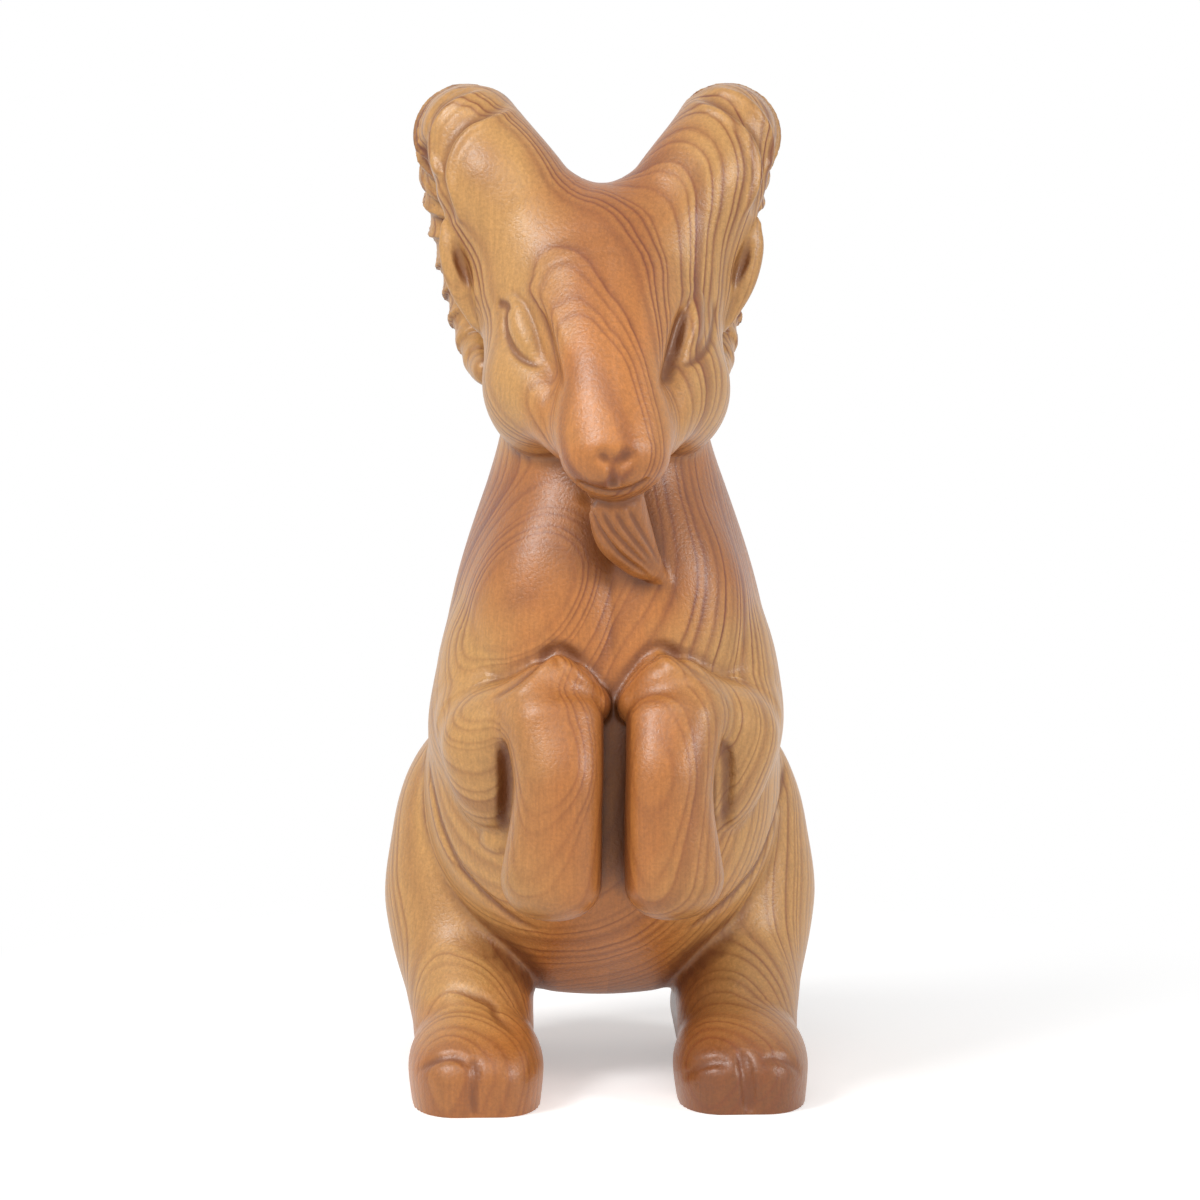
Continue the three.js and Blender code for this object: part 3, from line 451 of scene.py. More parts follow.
MARK_STEP = 6  # pixels from one ray to the next along a mark
MARK_REACH = 2.5  # widths of a mark past which it has run out
RAY_STEP = 0.5  # from one try to the next along a ray, in millimetres
RAY_REACH = 40.0  # how far before and behind the middle of the figure a ray is tried
PHOTO_MARKS = (
    PhotoMark(
        "right_lid", 0.42, -0.35, 0.3,
        ((508, 299), (505, 318), (507, 338), (516, 354), (530, 363), (543, 366)),
    ),
    PhotoMark(
        "left_lid", 0.42, -0.35, 0.3,
        ((713, 297), (715, 316), (712, 336), (705, 352), (692, 362), (679, 366)),
    ),
    PhotoMark("right_eye_corner", 0.4, -0.4, 0.3, ((497, 303), (504, 305), (511, 309))),
    PhotoMark(
        "right_brow", 0.9, 0.3, 0.4,
        ((520, 290), (534, 291), (549, 304), (559, 330), (564, 360)),
    ),
    PhotoMark("left_brow", 0.9, 0.3, 0.4, ((702, 290), (689, 290), (676, 303), (666, 330), (660, 360))),
    PhotoMark(
        "right_horn_lip", 0.5, 0.8, 0.25,
        ((516, 109), (486, 122), (468, 131), (455, 149), (449, 174), (455, 200), (463, 225)),
    ),
    PhotoMark(
        "right_horn_step", 1.0, -1.0, 0.3,
        ((510, 100), (482, 112), (462, 123), (447, 143), (440, 172), (446, 200), (456, 222)),
    ),
    PhotoMark(
        "right_horn_lip_2", 0.5, 0.7, 0.25,
        ((486, 90), (457, 102), (441, 116), (432, 138), (434, 165), (447, 188)),
    ),
    PhotoMark(
        "right_horn_step_2", 0.9, -0.8, 0.3,
        ((478, 85), (450, 95), (433, 111), (424, 136), (426, 165), (437, 190)),
    ),
    PhotoMark(
        "left_horn_lip", 0.5, 0.8, 0.25,
        ((690, 101), (720, 113), (747, 135), (758, 163), (756, 187), (742, 216)),
    ),
    PhotoMark(
        "left_horn_step", 1.0, -1.0, 0.3,
        ((696, 92), (726, 104), (754, 128), (766, 160), (764, 188), (751, 216)),
    ),
    PhotoMark(
        "left_horn_lip_2", 0.5, 0.7, 0.25,
        ((712, 87), (742, 98), (765, 122), (771, 147), (767, 178)),
    ),
    PhotoMark("right_bridge_wall", 0.8, -0.5, 0.35, ((540, 308), (548, 335), (556, 365), (563, 394))),
    PhotoMark("left_bridge_wall", 0.8, -0.5, 0.35, ((684, 308), (676, 335), (667, 365), (661, 394))),
    PhotoMark("nose", 0.6, -1.5, 0.3, ((596, 453), (606, 460), (615, 465), (624, 460), (634, 452))),
    PhotoMark("nose_stem", 0.4, -1.2, 0.2, ((615, 462), (614, 475), (613, 490))),
    PhotoMark("mouth", 0.36, -0.95, 0.3, ((577, 481), (592, 489), (613, 493), (634, 488), (650, 478))),
    PhotoMark(
        "lower_lip", 0.45, -0.6, 0.3,
        ((582, 495), (597, 503), (613, 506), (630, 503), (644, 494)),
    ),
    PhotoMark("beard_strand_1", 0.28, -0.5, 0.25, ((588, 505), (600, 530), (621, 556), (650, 577))),
    PhotoMark("beard_strand_2", 0.28, -0.5, 0.25, ((600, 507), (612, 530), (633, 553), (657, 574))),
    PhotoMark("beard_strand_3", 0.28, -0.5, 0.25, ((613, 508), (626, 530), (644, 552), (660, 570))),
    PhotoMark("beard_strand_4", 0.28, -0.5, 0.25, ((628, 507), (638, 525), (652, 548), (662, 566))),
    PhotoMark("breast_valley", 2.0, -0.4, 0.4, ((618, 560), (622, 600), (621, 640), (616, 680))),
    PhotoMark(
        "right_roof", 0.5, 0.4, 0.35,
        ((490, 704), (520, 690), (545, 668), (559, 658), (576, 672), (600, 694)),
    ),
    PhotoMark(
        "right_roof_crease", 0.55, -0.32, 0.3,
        ((484, 702), (512, 686), (538, 664), (558, 648), (580, 664), (606, 690)),
    ),
    PhotoMark(
        "left_roof", 0.5, 0.4, 0.35,
        ((622, 692), (634, 676), (648, 661), (662, 657), (680, 672), (726, 700)),
    ),
    PhotoMark(
        "left_roof_crease", 0.55, -0.32, 0.3,
        ((616, 688), (632, 666), (648, 651), (664, 647), (684, 662), (732, 696)),
    ),
    PhotoMark(
        "right_flank", 0.5, -0.7, 0.3,
        ((428, 758), (431, 785), (440, 825), (456, 862), (471, 882), (488, 899), (514, 919), (545, 933)),
    ),
    PhotoMark(
        "left_flank", 0.5, -0.7, 0.3,
        ((786, 758), (783, 785), (774, 825), (760, 862), (746, 882), (731, 898), (708, 917), (682, 932)),
    ),
    PhotoMark(
        "right_pocket", 0.6, -0.9, 0.35,
        ((501, 738), (506, 758), (508, 782), (507, 806), (503, 832)),
    ),
    PhotoMark(
        "left_pocket", 0.6, -0.9, 0.35,
        ((722, 738), (726, 758), (727, 782), (726, 806), (725, 830)),
    ),
    PhotoMark("right_dewclaw", 0.8, 0.5, 0.4, ((481, 836), (491, 842), (503, 850))),
    PhotoMark(
        "right_shin_crease", 0.6, -0.4, 0.35,
        ((446, 986), (489, 1002), (497, 1016), (522, 1038)),
    ),
    PhotoMark("right_coronet", 0.5, -0.45, 0.4, ((415, 1072), (433, 1061), (455, 1057), (472, 1066))),
    PhotoMark(
        "left_coronet_inner", 0.5, -0.45, 0.4,
        ((682, 1078), (697, 1067), (716, 1062), (732, 1066)),
    ),
    PhotoMark(
        "left_coronet_outer", 0.5, -0.45, 0.4,
        ((760, 1063), (773, 1057), (790, 1062), (802, 1074)),
    ),
    PhotoMark("right_cleft", 0.4, -0.6, 0.3, ((474, 1056), (477, 1076), (474, 1096), (475, 1119))),
    PhotoMark("left_cleft", 0.5, -1.0, 0.25, ((741, 1050), (746, 1070), (749, 1094), (750, 1114))),
)


class Mark(NamedTuple):
    """A line cut into the skin, or raised from it where its height is above 0."""

    line: np.ndarray
    width: float
    height: float
    ease: float  # share of the line over which it runs out at each end


def on_skin(pixels):
    """Where the photograph's rays through these pixels meet the skin."""
    start, right, up, forward = camera_axes()
    offsets = (np.array(pixels) - PHOTO_SIDE / 2) * SENSOR / (PHOTO_SIDE * LENS)
    ways = forward + offsets[:, :1] * right - offsets[:, 1:] * up
    reach = np.arange(-RAY_REACH, RAY_REACH, RAY_STEP) + CAMERA_DISTANCE
    spots = start + ways[:, None] * reach[:, None]
    depth = figure_field(*np.moveaxis(spots, -1, 0).astype(np.float32))
    inside = depth < 0
    hit = np.where(inside.any(axis=1), inside.argmax(axis=1), depth.argmin(axis=1))
    rows = np.arange(len(hit))
    before = np.maximum(hit - 1, 0)
    drop = np.maximum(depth[rows, before] - depth[rows, hit], 1e-3)
    back = np.clip(-depth[rows, hit] / drop, 0, 1)
    return start + ways * (reach[hit] - back * (reach[hit] - reach[before]))[:, None]


@lru_cache(maxsize=1)
def carved_marks():
    depth = bpy.context.scene.goat_carving.mark_depth
    lines = []
    for mark in PHOTO_MARKS:
        length = np.linalg.norm(np.diff(np.array(mark.pixels, float), axis=0), axis=1).sum()
        lines.append(smooth_line(mark.pixels, max(3, int(length / MARK_STEP))))
    places = np.split(on_skin(np.vstack(lines)), np.cumsum([len(line) for line in lines])[:-1])
    return [
        Mark(place.astype(np.float32), mark.width, mark.height * depth, mark.ease)
        for place, mark in zip(places, PHOTO_MARKS)
    ]


def marks_field(x, y, z):
    """How far the marks raise the skin at each point of a list."""
    total = np.zeros_like(x)
    for mark in carved_marks():
        reach = MARK_REACH * mark.width
        low = mark.line.min(axis=0) - reach
        high = mark.line.max(axis=0) + reach
        near = np.flatnonzero(
            (x > low[0]) & (x < high[0]) & (y > low[1]) & (y < high[1]) & (z > low[2]) & (z < high[2])
        )
        if len(near) == 0:
            continue
        px, py, pz = x[near], y[near], z[near]
        best = np.full(len(near), 1e3, np.float32)
        spot = np.zeros(len(near), np.float32)
        stretches = len(mark.line) - 1
        for i, (start, end) in enumerate(zip(mark.line, mark.line[1:])):
            way = end - start
            dx, dy, dz = px - start[0], py - start[1], pz - start[2]
            t = np.clip((dx * way[0] + dy * way[1] + dz * way[2]) / np.dot(way, way), 0, 1)
            gap = length_of(dx - t * way[0], dy - t * way[1], dz - t * way[2])
            closer = gap < best
            best[closer] = gap[closer]
            spot[closer] = (i + t[closer]) / stretches
        end_share = np.clip(np.minimum(spot, 1 - spot) / mark.ease, 0, 1)
        total[near] += mark.height * np.exp(-((best / mark.width) ** 2)) * np.sin(end_share * np.pi / 2)
    return total


def piece_field(name, x, y, z):
    """Two fields: the piece, closed just past where it meets others, and the whole figure's skin."""
    depths, width = form_depths(x, y, z)
    skin = skin_over(name, depths, width)
    own = depths.pop(name)
    past = (own - np.minimum.reduce(list(depths.values()))) / 2
    if x.ndim == 1:
        skin -= marks_field(x, y, z)
    # Where another form is the nearer one, the figure's skin is that one's
    whole = skin - 2 * np.maximum(past, 0)
    if name.endswith("hind_foot"):
        skin = np.maximum(skin, -z)
    return np.maximum(skin, past - TONGUE), whole


# Skins

BLOCK = 4  # fine steps along one side of a block of the coarse pass
MARGIN = 3.0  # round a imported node's box, in which its skin is looked for
CREASE_REACH = 0.7  # how wide a hollow still counts as a crease
SHADE_REACH = 3.0  # how far in front of the skin other wood still casts painted shade on it
SLOPE_STEP = 0.8  # steps of the grid to either side over which a slope is measured


def carved_mesh(name, step):
    """A closed mesh of the piece's skin, from its field on a grid that is fine only near the skin."""
    low, high = (np.array(corner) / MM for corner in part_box(name))
    low -= MARGIN
    blocks = np.ceil((high + MARGIN - low) / (step * BLOCK)).astype(int)
    places = [low[i] + step * (BLOCK * np.arange(blocks[i]) + (BLOCK - 1) / 2) for i in range(3)]
    x, y, z = (v.astype(np.float32) for v in np.meshgrid(*places, indexing="ij"))
    depth, whole = piece_field(name, x, y, z)
    for axis in range(3):
        depth = np.repeat(depth, BLOCK, axis)
        whole = np.repeat(whole, BLOCK, axis)
    band = 2 * BLOCK * step
    near = np.flatnonzero(np.abs(depth) < band)
    spots = np.unravel_index(near, depth.shape)
    x, y, z = ((low[i] + step * spots[i]).astype(np.float32) for i in range(3))
    depth.ravel()[near], whole.ravel()[near] = piece_field(name, x, y, z)
    grid = openvdb.FloatGrid(band)
    grid.copyFromArray(np.clip(depth, -band, band).astype(np.float32))
    points, quads = grid.convertToQuads(0.0)
    points, quads = largest_shell(points, quads.astype(int))
    mesh = bpy.data.meshes.new(name + "_skin")
    mesh.from_pydata((points * step + low) * MM, [], quads)
    mesh.shade_smooth()
    normals = slopes(whole, points)
    mesh.normals_split_custom_set_from_vertices(normals)
    for key, values in (
        # painted shade in creases, where the skin bends inwards
        ("crease", hollowness(whole, points, step)),
        # painted shade in hollows, where other wood stands close before the skin
        ("stain", closeness(whole, points, normals, step)),
    ):
        mesh.attributes.new(key, "FLOAT", "POINT").data.foreach_set("value", values.astype(np.float32))
    return mesh


def sampled(field, points):
    """The field's values at points between its grid's own, blended from the eight around each."""
    points = np.clip(points, 0, np.array(field.shape) - 1.001)
    low = points.astype(int)
    share = points - low
    total = np.zeros(len(points))
    for corner in np.ndindex(2, 2, 2):
        weight = np.prod(np.where(corner, share, 1 - share), axis=1)
        total += weight * field[tuple((low + corner).T)]
    return total


def hollowness(field, points, step):
    """How sharply the skin bends inwards at each point, per millimetre."""
    reach = CREASE_REACH / step
    total = -6 * sampled(field, points)
    for axis in range(3):
        for side in (-reach, reach):
            other = points.astype(float)
            other[:, axis] += side
            total += sampled(field, other)
    return np.maximum(-total / CREASE_REACH**2, 0)


def slopes(field, points):
    """The way out of the skin at each point. Two pieces that meet have the same one there."""
    ways = np.zeros((len(points), 3))
    for axis in range(3):
        off = np.eye(3)[axis] * SLOPE_STEP
        ways[:, axis] = sampled(field, points + off) - sampled(field, points - off)
    return ways / np.maximum(np.linalg.norm(ways, axis=1, keepdims=True), 1e-6)


def closeness(field, points, normals, step):
    """How much other wood stands before the skin at each point, from 0 to 1."""
    ahead = sampled(field, points + normals * (SHADE_REACH / step))
    return np.clip(1 - ahead / SHADE_REACH, 0, 1)


def largest_shell(points, quads):
    """Drops the crumbs that the cuts leave, so that one closed skin is left."""
    label = np.arange(len(points))
    while True:
        lowest = label.copy()
        np.minimum.at(lowest, quads.ravel(), np.repeat(label[quads].min(axis=1), 4))
        lowest = lowest[lowest]
        if np.array_equal(lowest, label):
            break
        label = lowest
    kept = label == np.bincount(label).argmax()
    number = np.cumsum(kept) - 1
    return points[kept], number[quads[kept[quads[:, 0]]]]


def carve(name, step, rings=1.0):
    """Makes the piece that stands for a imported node. Its growth rings show by the given share."""
    mesh = carved_mesh(name, step)
    shown = np.full(len(mesh.vertices), rings, np.float32)
    mesh.attributes.new("rings", "FLOAT", "POINT").data.foreach_set("value", shown)
    mesh.materials.append(lacquered_wood())
    piece = bpy.data.objects.new("carved_" + name, mesh)
    bpy.context.scene.collection.objects.link(piece)
    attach(piece, BODY)
    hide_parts(name)


def carve_pair(name, step, rings=1.0):
    for side in ("left", "right"):
        carve(f"{side}_{name}", step, rings)


# Lacquered wood

class NodeBench:
    """Lays out a material's nodes with few words."""

    def __init__(self, tree):
        self.tree = tree

    def add(self, kind, settings=None, **inputs):
        node = self.tree.nodes.new(kind)
        for key, value in (settings or {}).items():
            setattr(node, key, value)
        for key, value in inputs.items():
            self.feed(node, key, value)
        return node

    def feed(self, node, key, value):
        socket = node.inputs[int(key[1:])] if key[0] == "_" else node.inputs[key.replace("_", " ")]
        if isinstance(value, bpy.types.NodeSocket):
            self.tree.links.new(value, socket)
        else:
            socket.default_value = value

    def math(self, operation, *values):
        node = self.add("ShaderNodeMath", {"operation": operation})
        for i, value in enumerate(values):
            self.feed(node, f"_{i}", value)
        return node.outputs[0]

    def mix(self, share, first, second, blend="MIX"):
        node = self.add("ShaderNodeMix", {"data_type": "RGBA", "blend_type": blend})
        self.feed(node, "_0", share)
        self.feed(node, "_6", first)
        self.feed(node, "_7", second)
        return node.outputs[2]

    def ramp(self, value, *stops):
        node = self.add("ShaderNodeValToRGB", Fac=value)
        elements = node.color_ramp.elements
        while len(elements) < len(stops):
            elements.new(0.5)
        for element, (at, level) in zip(elements, stops):
            element.position = at
            element.color = (level, level, level, 1)
        return node.outputs[0]

    def noise(self, spot, scale, detail, roughness=0.5):
        node = self.add("ShaderNodeTexNoise", Vector=spot, Scale=scale, Detail=detail, Roughness=roughness)
        return node.outputs["Fac"]

    def remap(self, value, low, high, most=1.0, kind="LINEAR"):
        """Takes low to 0 and high to most, and keeps within these."""
        node = self.add("ShaderNodeMapRange", {"interpolation_type": kind}, Value=value, To_Max=most)
        self.feed(node, "From_Min", low)
        self.feed(node, "From_Max", high)
        return node.outputs[0]

    def along(self, vector, way):
        node = self.add("ShaderNodeVectorMath", {"operation": "DOT_PRODUCT"}, _0=vector, _1=way)
        return node.outputs["Value"]

    def attribute(self, name):
        return self.add("ShaderNodeAttribute", {"attribute_name": name}).outputs["Fac"]

    def seen(self):
        """1 for a ray that sees the thing, straight on or in a mirror, and 0 for one that lights others."""
        path = self.add("ShaderNodeLightPath").outputs
        plain = self.math("MAXIMUM", path["Is Camera Ray"], path["Is Glossy Ray"])
        return self.math("MAXIMUM", plain, path["Is Transmission Ray"])


GRAIN = (-0.42, -0.87, 0.25)  # the way across the growth rings
BLOCK_HEIGHT = 100.0  # of the block of wood; tones and rings change by shares of it
SLOW_WAVE = 6.0  # how far slow waves bend the rings, in millimetres
QUICK_WAVE = 0.3  # the same for quick waves
SWELLING = 4.5  # how far the rings bulge on the chest, in millimetres
UNSTEADY = 2.6  # how many rings the count may gain where they lie closer
RING_CONTRAST = 1.5  # how much darker the lines are drawn than their ramps say
TONE_WANDER = 16.0  # how far the border of the paler wood wanders, in millimetres
HEART_AND_SHADE_SHARE = 0.4  # how much of the crease colour the darkest heartwood and painted shade take on
FIBRE_SCALE = (3.0, 3.0, 0.25)  # fibres are short across the block and long up it
PORE_DEPTH = 0.08 * MM


def ring_count(bench, spot, spacing):
    """Counts growth rings: sheets that lean across the block, bent by waves and by a swelling."""
    x, _, z = bench.add("ShaderNodeSeparateXYZ", Vector=spot).outputs
    slow = bench.math("SUBTRACT", bench.noise(spot, 0.04, 1.0), 0.5)
    bent = bench.math("MULTIPLY", slow, SLOW_WAVE)
    bent = bench.math("MULTIPLY_ADD", bench.noise(spot, 0.3, 2.0), QUICK_WAVE, bent)
    # The swelling lies on the right of the chest and draws the rings aslant across it
    slant = bench.math("MULTIPLY_ADD", x, -0.6, z)
    rise = bench.remap(slant, 42.0, 55.0, kind="SMOOTHSTEP")
    fall = bench.remap(slant, 55.0, 68.0, kind="SMOOTHSTEP")
    right = bench.remap(x, 10.0, -8.0, kind="SMOOTHSTEP")
    swelling = bench.math("MULTIPLY", bench.math("SUBTRACT", rise, fall), right)
    bent = bench.math("MULTIPLY_ADD", swelling, SWELLING, bent)
    depth = bench.math("ADD", bench.along(spot, GRAIN), bent)
    count = bench.math("DIVIDE", depth, spacing)
    uneven = bench.add("ShaderNodeTexNoise", {"noise_dimensions": "1D"}, W=count, Scale=0.45, Detail=1.0)
    return bench.math("MULTIPLY_ADD", uneven.outputs["Fac"], UNSTEADY, count)


def ring_lines(bench, spot, share, spacing):
    """How dark the growth rings are at each point."""
    count = ring_count(bench, spot, spacing)
    line = bench.ramp(
        bench.math("FRACT", count),
        (0.0, 0.6), (0.1, 0.15), (0.28, 0.0), (0.5, 0.15), (0.72, 0.5), (0.88, 1.0), (1.0, 0.6),
    )
    number = bench.math("FLOOR", count)
    chance = bench.add("ShaderNodeTexWhiteNoise", {"noise_dimensions": "1D"}, W=number).outputs["Value"]
    strength = bench.math("MULTIPLY_ADD", chance, 0.5, 0.5)
    patchy = bench.ramp(bench.noise(spot, 0.11, 2.0), (0.3, 0.7), (0.6, 1.0))
    # Where the skin lies along a ring, the ring's edge is drawn out and faint
    outward = bench.add("ShaderNodeNewGeometry").outputs["Normal"]
    level = bench.math("ABSOLUTE", bench.along(outward, GRAIN))
    clear = bench.ramp(level, (0.0, 1.0), (0.72, 0.95), (0.88, 0.65), (1.0, 0.35))
    bold = bench.ramp(share, (0.43, 0.55), (0.5, 1.1), (0.6, 1.0), (0.68, 0.6), (0.8, 1.0))
    for factor in (strength, patchy, clear, bold, RING_CONTRAST, bench.attribute("rings")):
        line = bench.math("MULTIPLY", line, factor)
    return line


def wood_ground(bench, spot, share, finish):
    """The wood between the rings: paler and olive at the sides, redder where it is heartwood, and darker
    where shade is painted in on the neck and at the feet.
    """
    x, y, _ = bench.add("ShaderNodeSeparateXYZ", Vector=spot).outputs
    wander = bench.math("SUBTRACT", bench.noise(spot, 0.07, 3.0, 0.55), 0.5)
    wander = bench.math("MULTIPLY", wander, TONE_WANDER)
    sides = bench.ramp(
        share, (0.05, 0.25), (0.14, 1.0), (0.44, 1.0), (0.52, 0.35), (0.61, 0.35), (0.67, 1.3)
    )
    aside = bench.math("MULTIPLY_ADD", bench.math("ABSOLUTE", x), sides, wander)
    pale = bench.remap(aside, 4.0, 12.0)
    # Darker at the feet, on the neck and over the brow, most of all in the left foot and towards the front
    # of the forefeet: heartwood over the brow, and painted shade over darker wood on the neck under the
    # head and at the feet under the body
    heart_and_shade = bench.ramp(
        share,
        (0.06, 0.35), (0.13, 0.0), (0.46, 0.0), (0.55, 0.8),
        (0.6, 0.8), (0.66, 0.0), (0.76, 0.0), (0.84, 0.75),
    )
    heart_and_shade = bench.math("MULTIPLY", heart_and_shade, bench.math("SUBTRACT", 1.15, pale))
    left = bench.math("GREATER_THAN", x, 0.0)
    foot = bench.ramp(share, (0.05, 1.2), (0.15, 0.0))
    heart_and_shade = bench.math("MULTIPLY_ADD", left, foot, heart_and_shade)
    ahead = bench.remap(y, -17.0, -21.0, most=0.5)
    legs = bench.ramp(share, (0.43, 1.0), (0.46, 0.0))
    heart_and_shade = bench.math("MULTIPLY_ADD", ahead, legs, heart_and_shade)
    ground = bench.mix(pale, finish.honey, finish.olive)
    return bench.mix(bench.math("MULTIPLY", heart_and_shade, HEART_AND_SHADE_SHARE), ground, finish.crease)


def lacquered_wood():
    """The one material of the figure, made when it is first asked for."""
    found = bpy.data.materials.get("lacquered_wood")
    if found:
        return found
    finish = bpy.context.scene.goat_wood
    material = bpy.data.materials.new("lacquered_wood")
    material.use_nodes = True
    bench = NodeBench(material.node_tree)
    where = bench.add("ShaderNodeTexCoord").outputs["Object"]
    spot = bench.add("ShaderNodeVectorMath", {"operation": "SCALE"}, Vector=where, Scale=1 / MM).outputs[0]
    height = bench.add("ShaderNodeSeparateXYZ", Vector=spot).outputs["Z"]
    share = bench.math("DIVIDE", height, BLOCK_HEIGHT)
    ground = wood_ground(bench, spot, share, finish)
    dark = ring_lines(bench, spot, share, finish.ring_spacing / MM)
    colour = bench.mix(dark, ground, finish.ring)

    # Fibres: short dark streaks up the block, and a fine speckle
    stretch = bench.add("ShaderNodeVectorMath", {"operation": "MULTIPLY"}, _0=spot, _1=FIBRE_SCALE)
    streak = bench.ramp(bench.noise(stretch.outputs[0], 1.0, 3.0, 0.6), (0.3, 0.86), (0.7, 1.05))
    pores = bench.noise(spot, 3.2, 2.0, 0.6)
    speckle = bench.ramp(pores, (0.35, 0.9), (0.65, 1.06))
    for factor in (streak, speckle):
        colour = bench.mix(1.0, colour, factor, "MULTIPLY")

    # Painted shade: where other wood stands close before the skin, and in creases, the colour darkens
    # towards the crease colour
    hollow_shade = bench.remap(bench.attribute("stain"), 0.32, 0.92, most=0.85)
    crease_shade = bench.remap(bench.attribute("crease"), 0.12, 1.6, most=0.75)
    for kept in (hollow_shade, crease_shade):
        colour = bench.mix(kept, colour, finish.crease)

    shader = material.node_tree.nodes["Principled BSDF"]
    bump = bench.add("ShaderNodeBump", Strength=0.6, Distance=PORE_DEPTH, Height=pores).outputs[0]
    bench.feed(shader, "Base_Color", colour)
    bench.feed(shader, "Normal", bump)
    bench.feed(shader, "Coat_Normal", bump)
    bench.feed(shader, "Roughness", bench.ramp(pores, (0.3, 0.32), (0.7, 0.5)))
    shader.inputs["Coat Weight"].default_value = finish.lacquer
    shader.inputs["Coat Roughness"].default_value = finish.lacquer_roughness
    shader.inputs["Specular IOR Level"].default_value = 0.38
    return material


# The studio

def camera_axes():
    """The camera's place and its right, up and forward ways, in millimetres."""
    azimuth, elevation = math.radians(CAMERA_AZIMUTH), math.radians(CAMERA_ELEVATION)
    level = math.cos(elevation)
    back = np.array((math.sin(azimuth) * level, -math.cos(azimuth) * level, math.sin(elevation)))
    right = np.cross(-back, (0, 0, 1))
    right /= np.linalg.norm(right)
    return CAMERA_AIM + back * CAMERA_DISTANCE, right, np.cross(right, -back), -back


def add_camera():
    place, _, _, forward = camera_axes()
    lens = bpy.data.cameras.new("photo_camera")
    lens.sensor_width = SENSOR
    lens.lens = LENS
    lens.clip_start = 0.01
    camera = bpy.data.objects.new("photo_camera", lens)
    camera.location = Vector(place * MM)
    camera.rotation_mode = "QUATERNION"
    camera.rotation_quaternion = Vector(forward).to_track_quat("-Z", "Y")
    bpy.context.scene.collection.objects.link(camera)
    bpy.context.scene.camera = camera


# Each softbox with its place and its width, in metres
SOFTBOXES = (
    ("front", (-0.12, -0.6, 0.68), 0.5),
    ("key", (-0.44, -0.34, 0.52), 0.26),
    ("side", (0.58, -0.4, 0.32), 0.22),
)
LIGHT_AIM = Vector((0, 0, 0.05))


def add_softbox(name, place, size, power):
    """A square softbox that faces the middle of the figure."""
    lamp = bpy.data.lights.new(name, "AREA")
    lamp.shape = "SQUARE"
    lamp.size = size
    lamp.energy = power
    box = bpy.data.objects.new(name, lamp)
    box.location = place
    aim = LIGHT_AIM - Vector(place)
    box.rotation_mode = "QUATERNION"
    box.rotation_quaternion = aim.to_track_quat("-Z", "Y")
    bpy.context.scene.collection.objects.link(box)


FLOOR_REACH = 3.0  # metres
FLOOR_SIDES = 64
FLOOR_LIFT = 0.4  # light that the floor adds of its own, so that it is white where no shadow falls
FADE_START, FADE_END = 0.03, 0.09  # metres from the figure's middle over which the floor turns to white


def add_floor(colour):
    """A pale round floor that turns to plain white away from the figure and keeps its shadow."""
    mesh = bpy.data.meshes.new("studio_floor")
    turns = [i * math.tau / FLOOR_SIDES for i in range(FLOOR_SIDES)]
    corners = [(FLOOR_REACH * math.cos(turn), FLOOR_REACH * math.sin(turn), 0) for turn in turns]
    mesh.from_pydata(corners, [], [range(FLOOR_SIDES)])
    material = bpy.data.materials.new("studio_floor")
    material.use_nodes = True
    bench = NodeBench(material.node_tree)
    shader = material.node_tree.nodes["Principled BSDF"]
    shader.inputs["Base Color"].default_value = colour
    shader.inputs["Roughness"].default_value = 0.9
    where = bench.add("ShaderNodeTexCoord").outputs["Object"]
    away = bench.add("ShaderNodeVectorMath", {"operation": "LENGTH"}, _0=where).outputs["Value"]
    far = bench.remap(away, FADE_START, FADE_END)
    seen = bench.seen()
    glow = bench.add("ShaderNodeEmission", Strength=1.0)
    lift = bench.add("ShaderNodeEmission", Strength=bench.math("MULTIPLY", seen, FLOOR_LIFT))
    lifted = bench.add("ShaderNodeAddShader", _0=shader.outputs[0], _1=lift.outputs[0])
    mixed = bench.add("ShaderNodeMixShader", _0=bench.math("MULTIPLY", far, seen))
    bench.feed(mixed, "_1", lifted.outputs[0])
    bench.feed(mixed, "_2", glow.outputs[0])
    bench.feed(material.node_tree.nodes["Material Output"], "Surface", mixed.outputs[0])
    mesh.materials.append(material)
    floor = bpy.data.objects.new("studio_floor", mesh)
    bpy.context.scene.collection.objects.link(floor)


def add_world(fill):
    """White all round for the camera and for reflections, and a plain soft fill for the light."""
    world = bpy.data.worlds.new("studio_world")
    world.use_nodes = True
    bench = NodeBench(world.node_tree)
    strength = bench.math("MULTIPLY_ADD", bench.seen(), 1.0 - fill, fill)
    background = world.node_tree.nodes["Background"]
    background.inputs["Color"].default_value = (1, 1, 1, 1)
    bench.feed(background, "Strength", strength)
    bpy.context.scene.world = world


# Settings

class GoatCarving(bpy.types.PropertyGroup):
    """Sizes of the carving."""

    rib_pitch: bpy.props.FloatProperty(
        name="Rib pitch", description="From one rib of a horn to the next", default=3.1 * MM, unit="LENGTH"
    )
    rib_height: bpy.props.FloatProperty(
        name="Rib height", description="Of the ribs on the horns' curl", default=1.0 * MM, unit="LENGTH"
    )
    mark_depth: bpy.props.FloatProperty(
        name="Mark depth", description="How deep the gouge's marks are, as a share",
        default=1.0, subtype="FACTOR",
    )


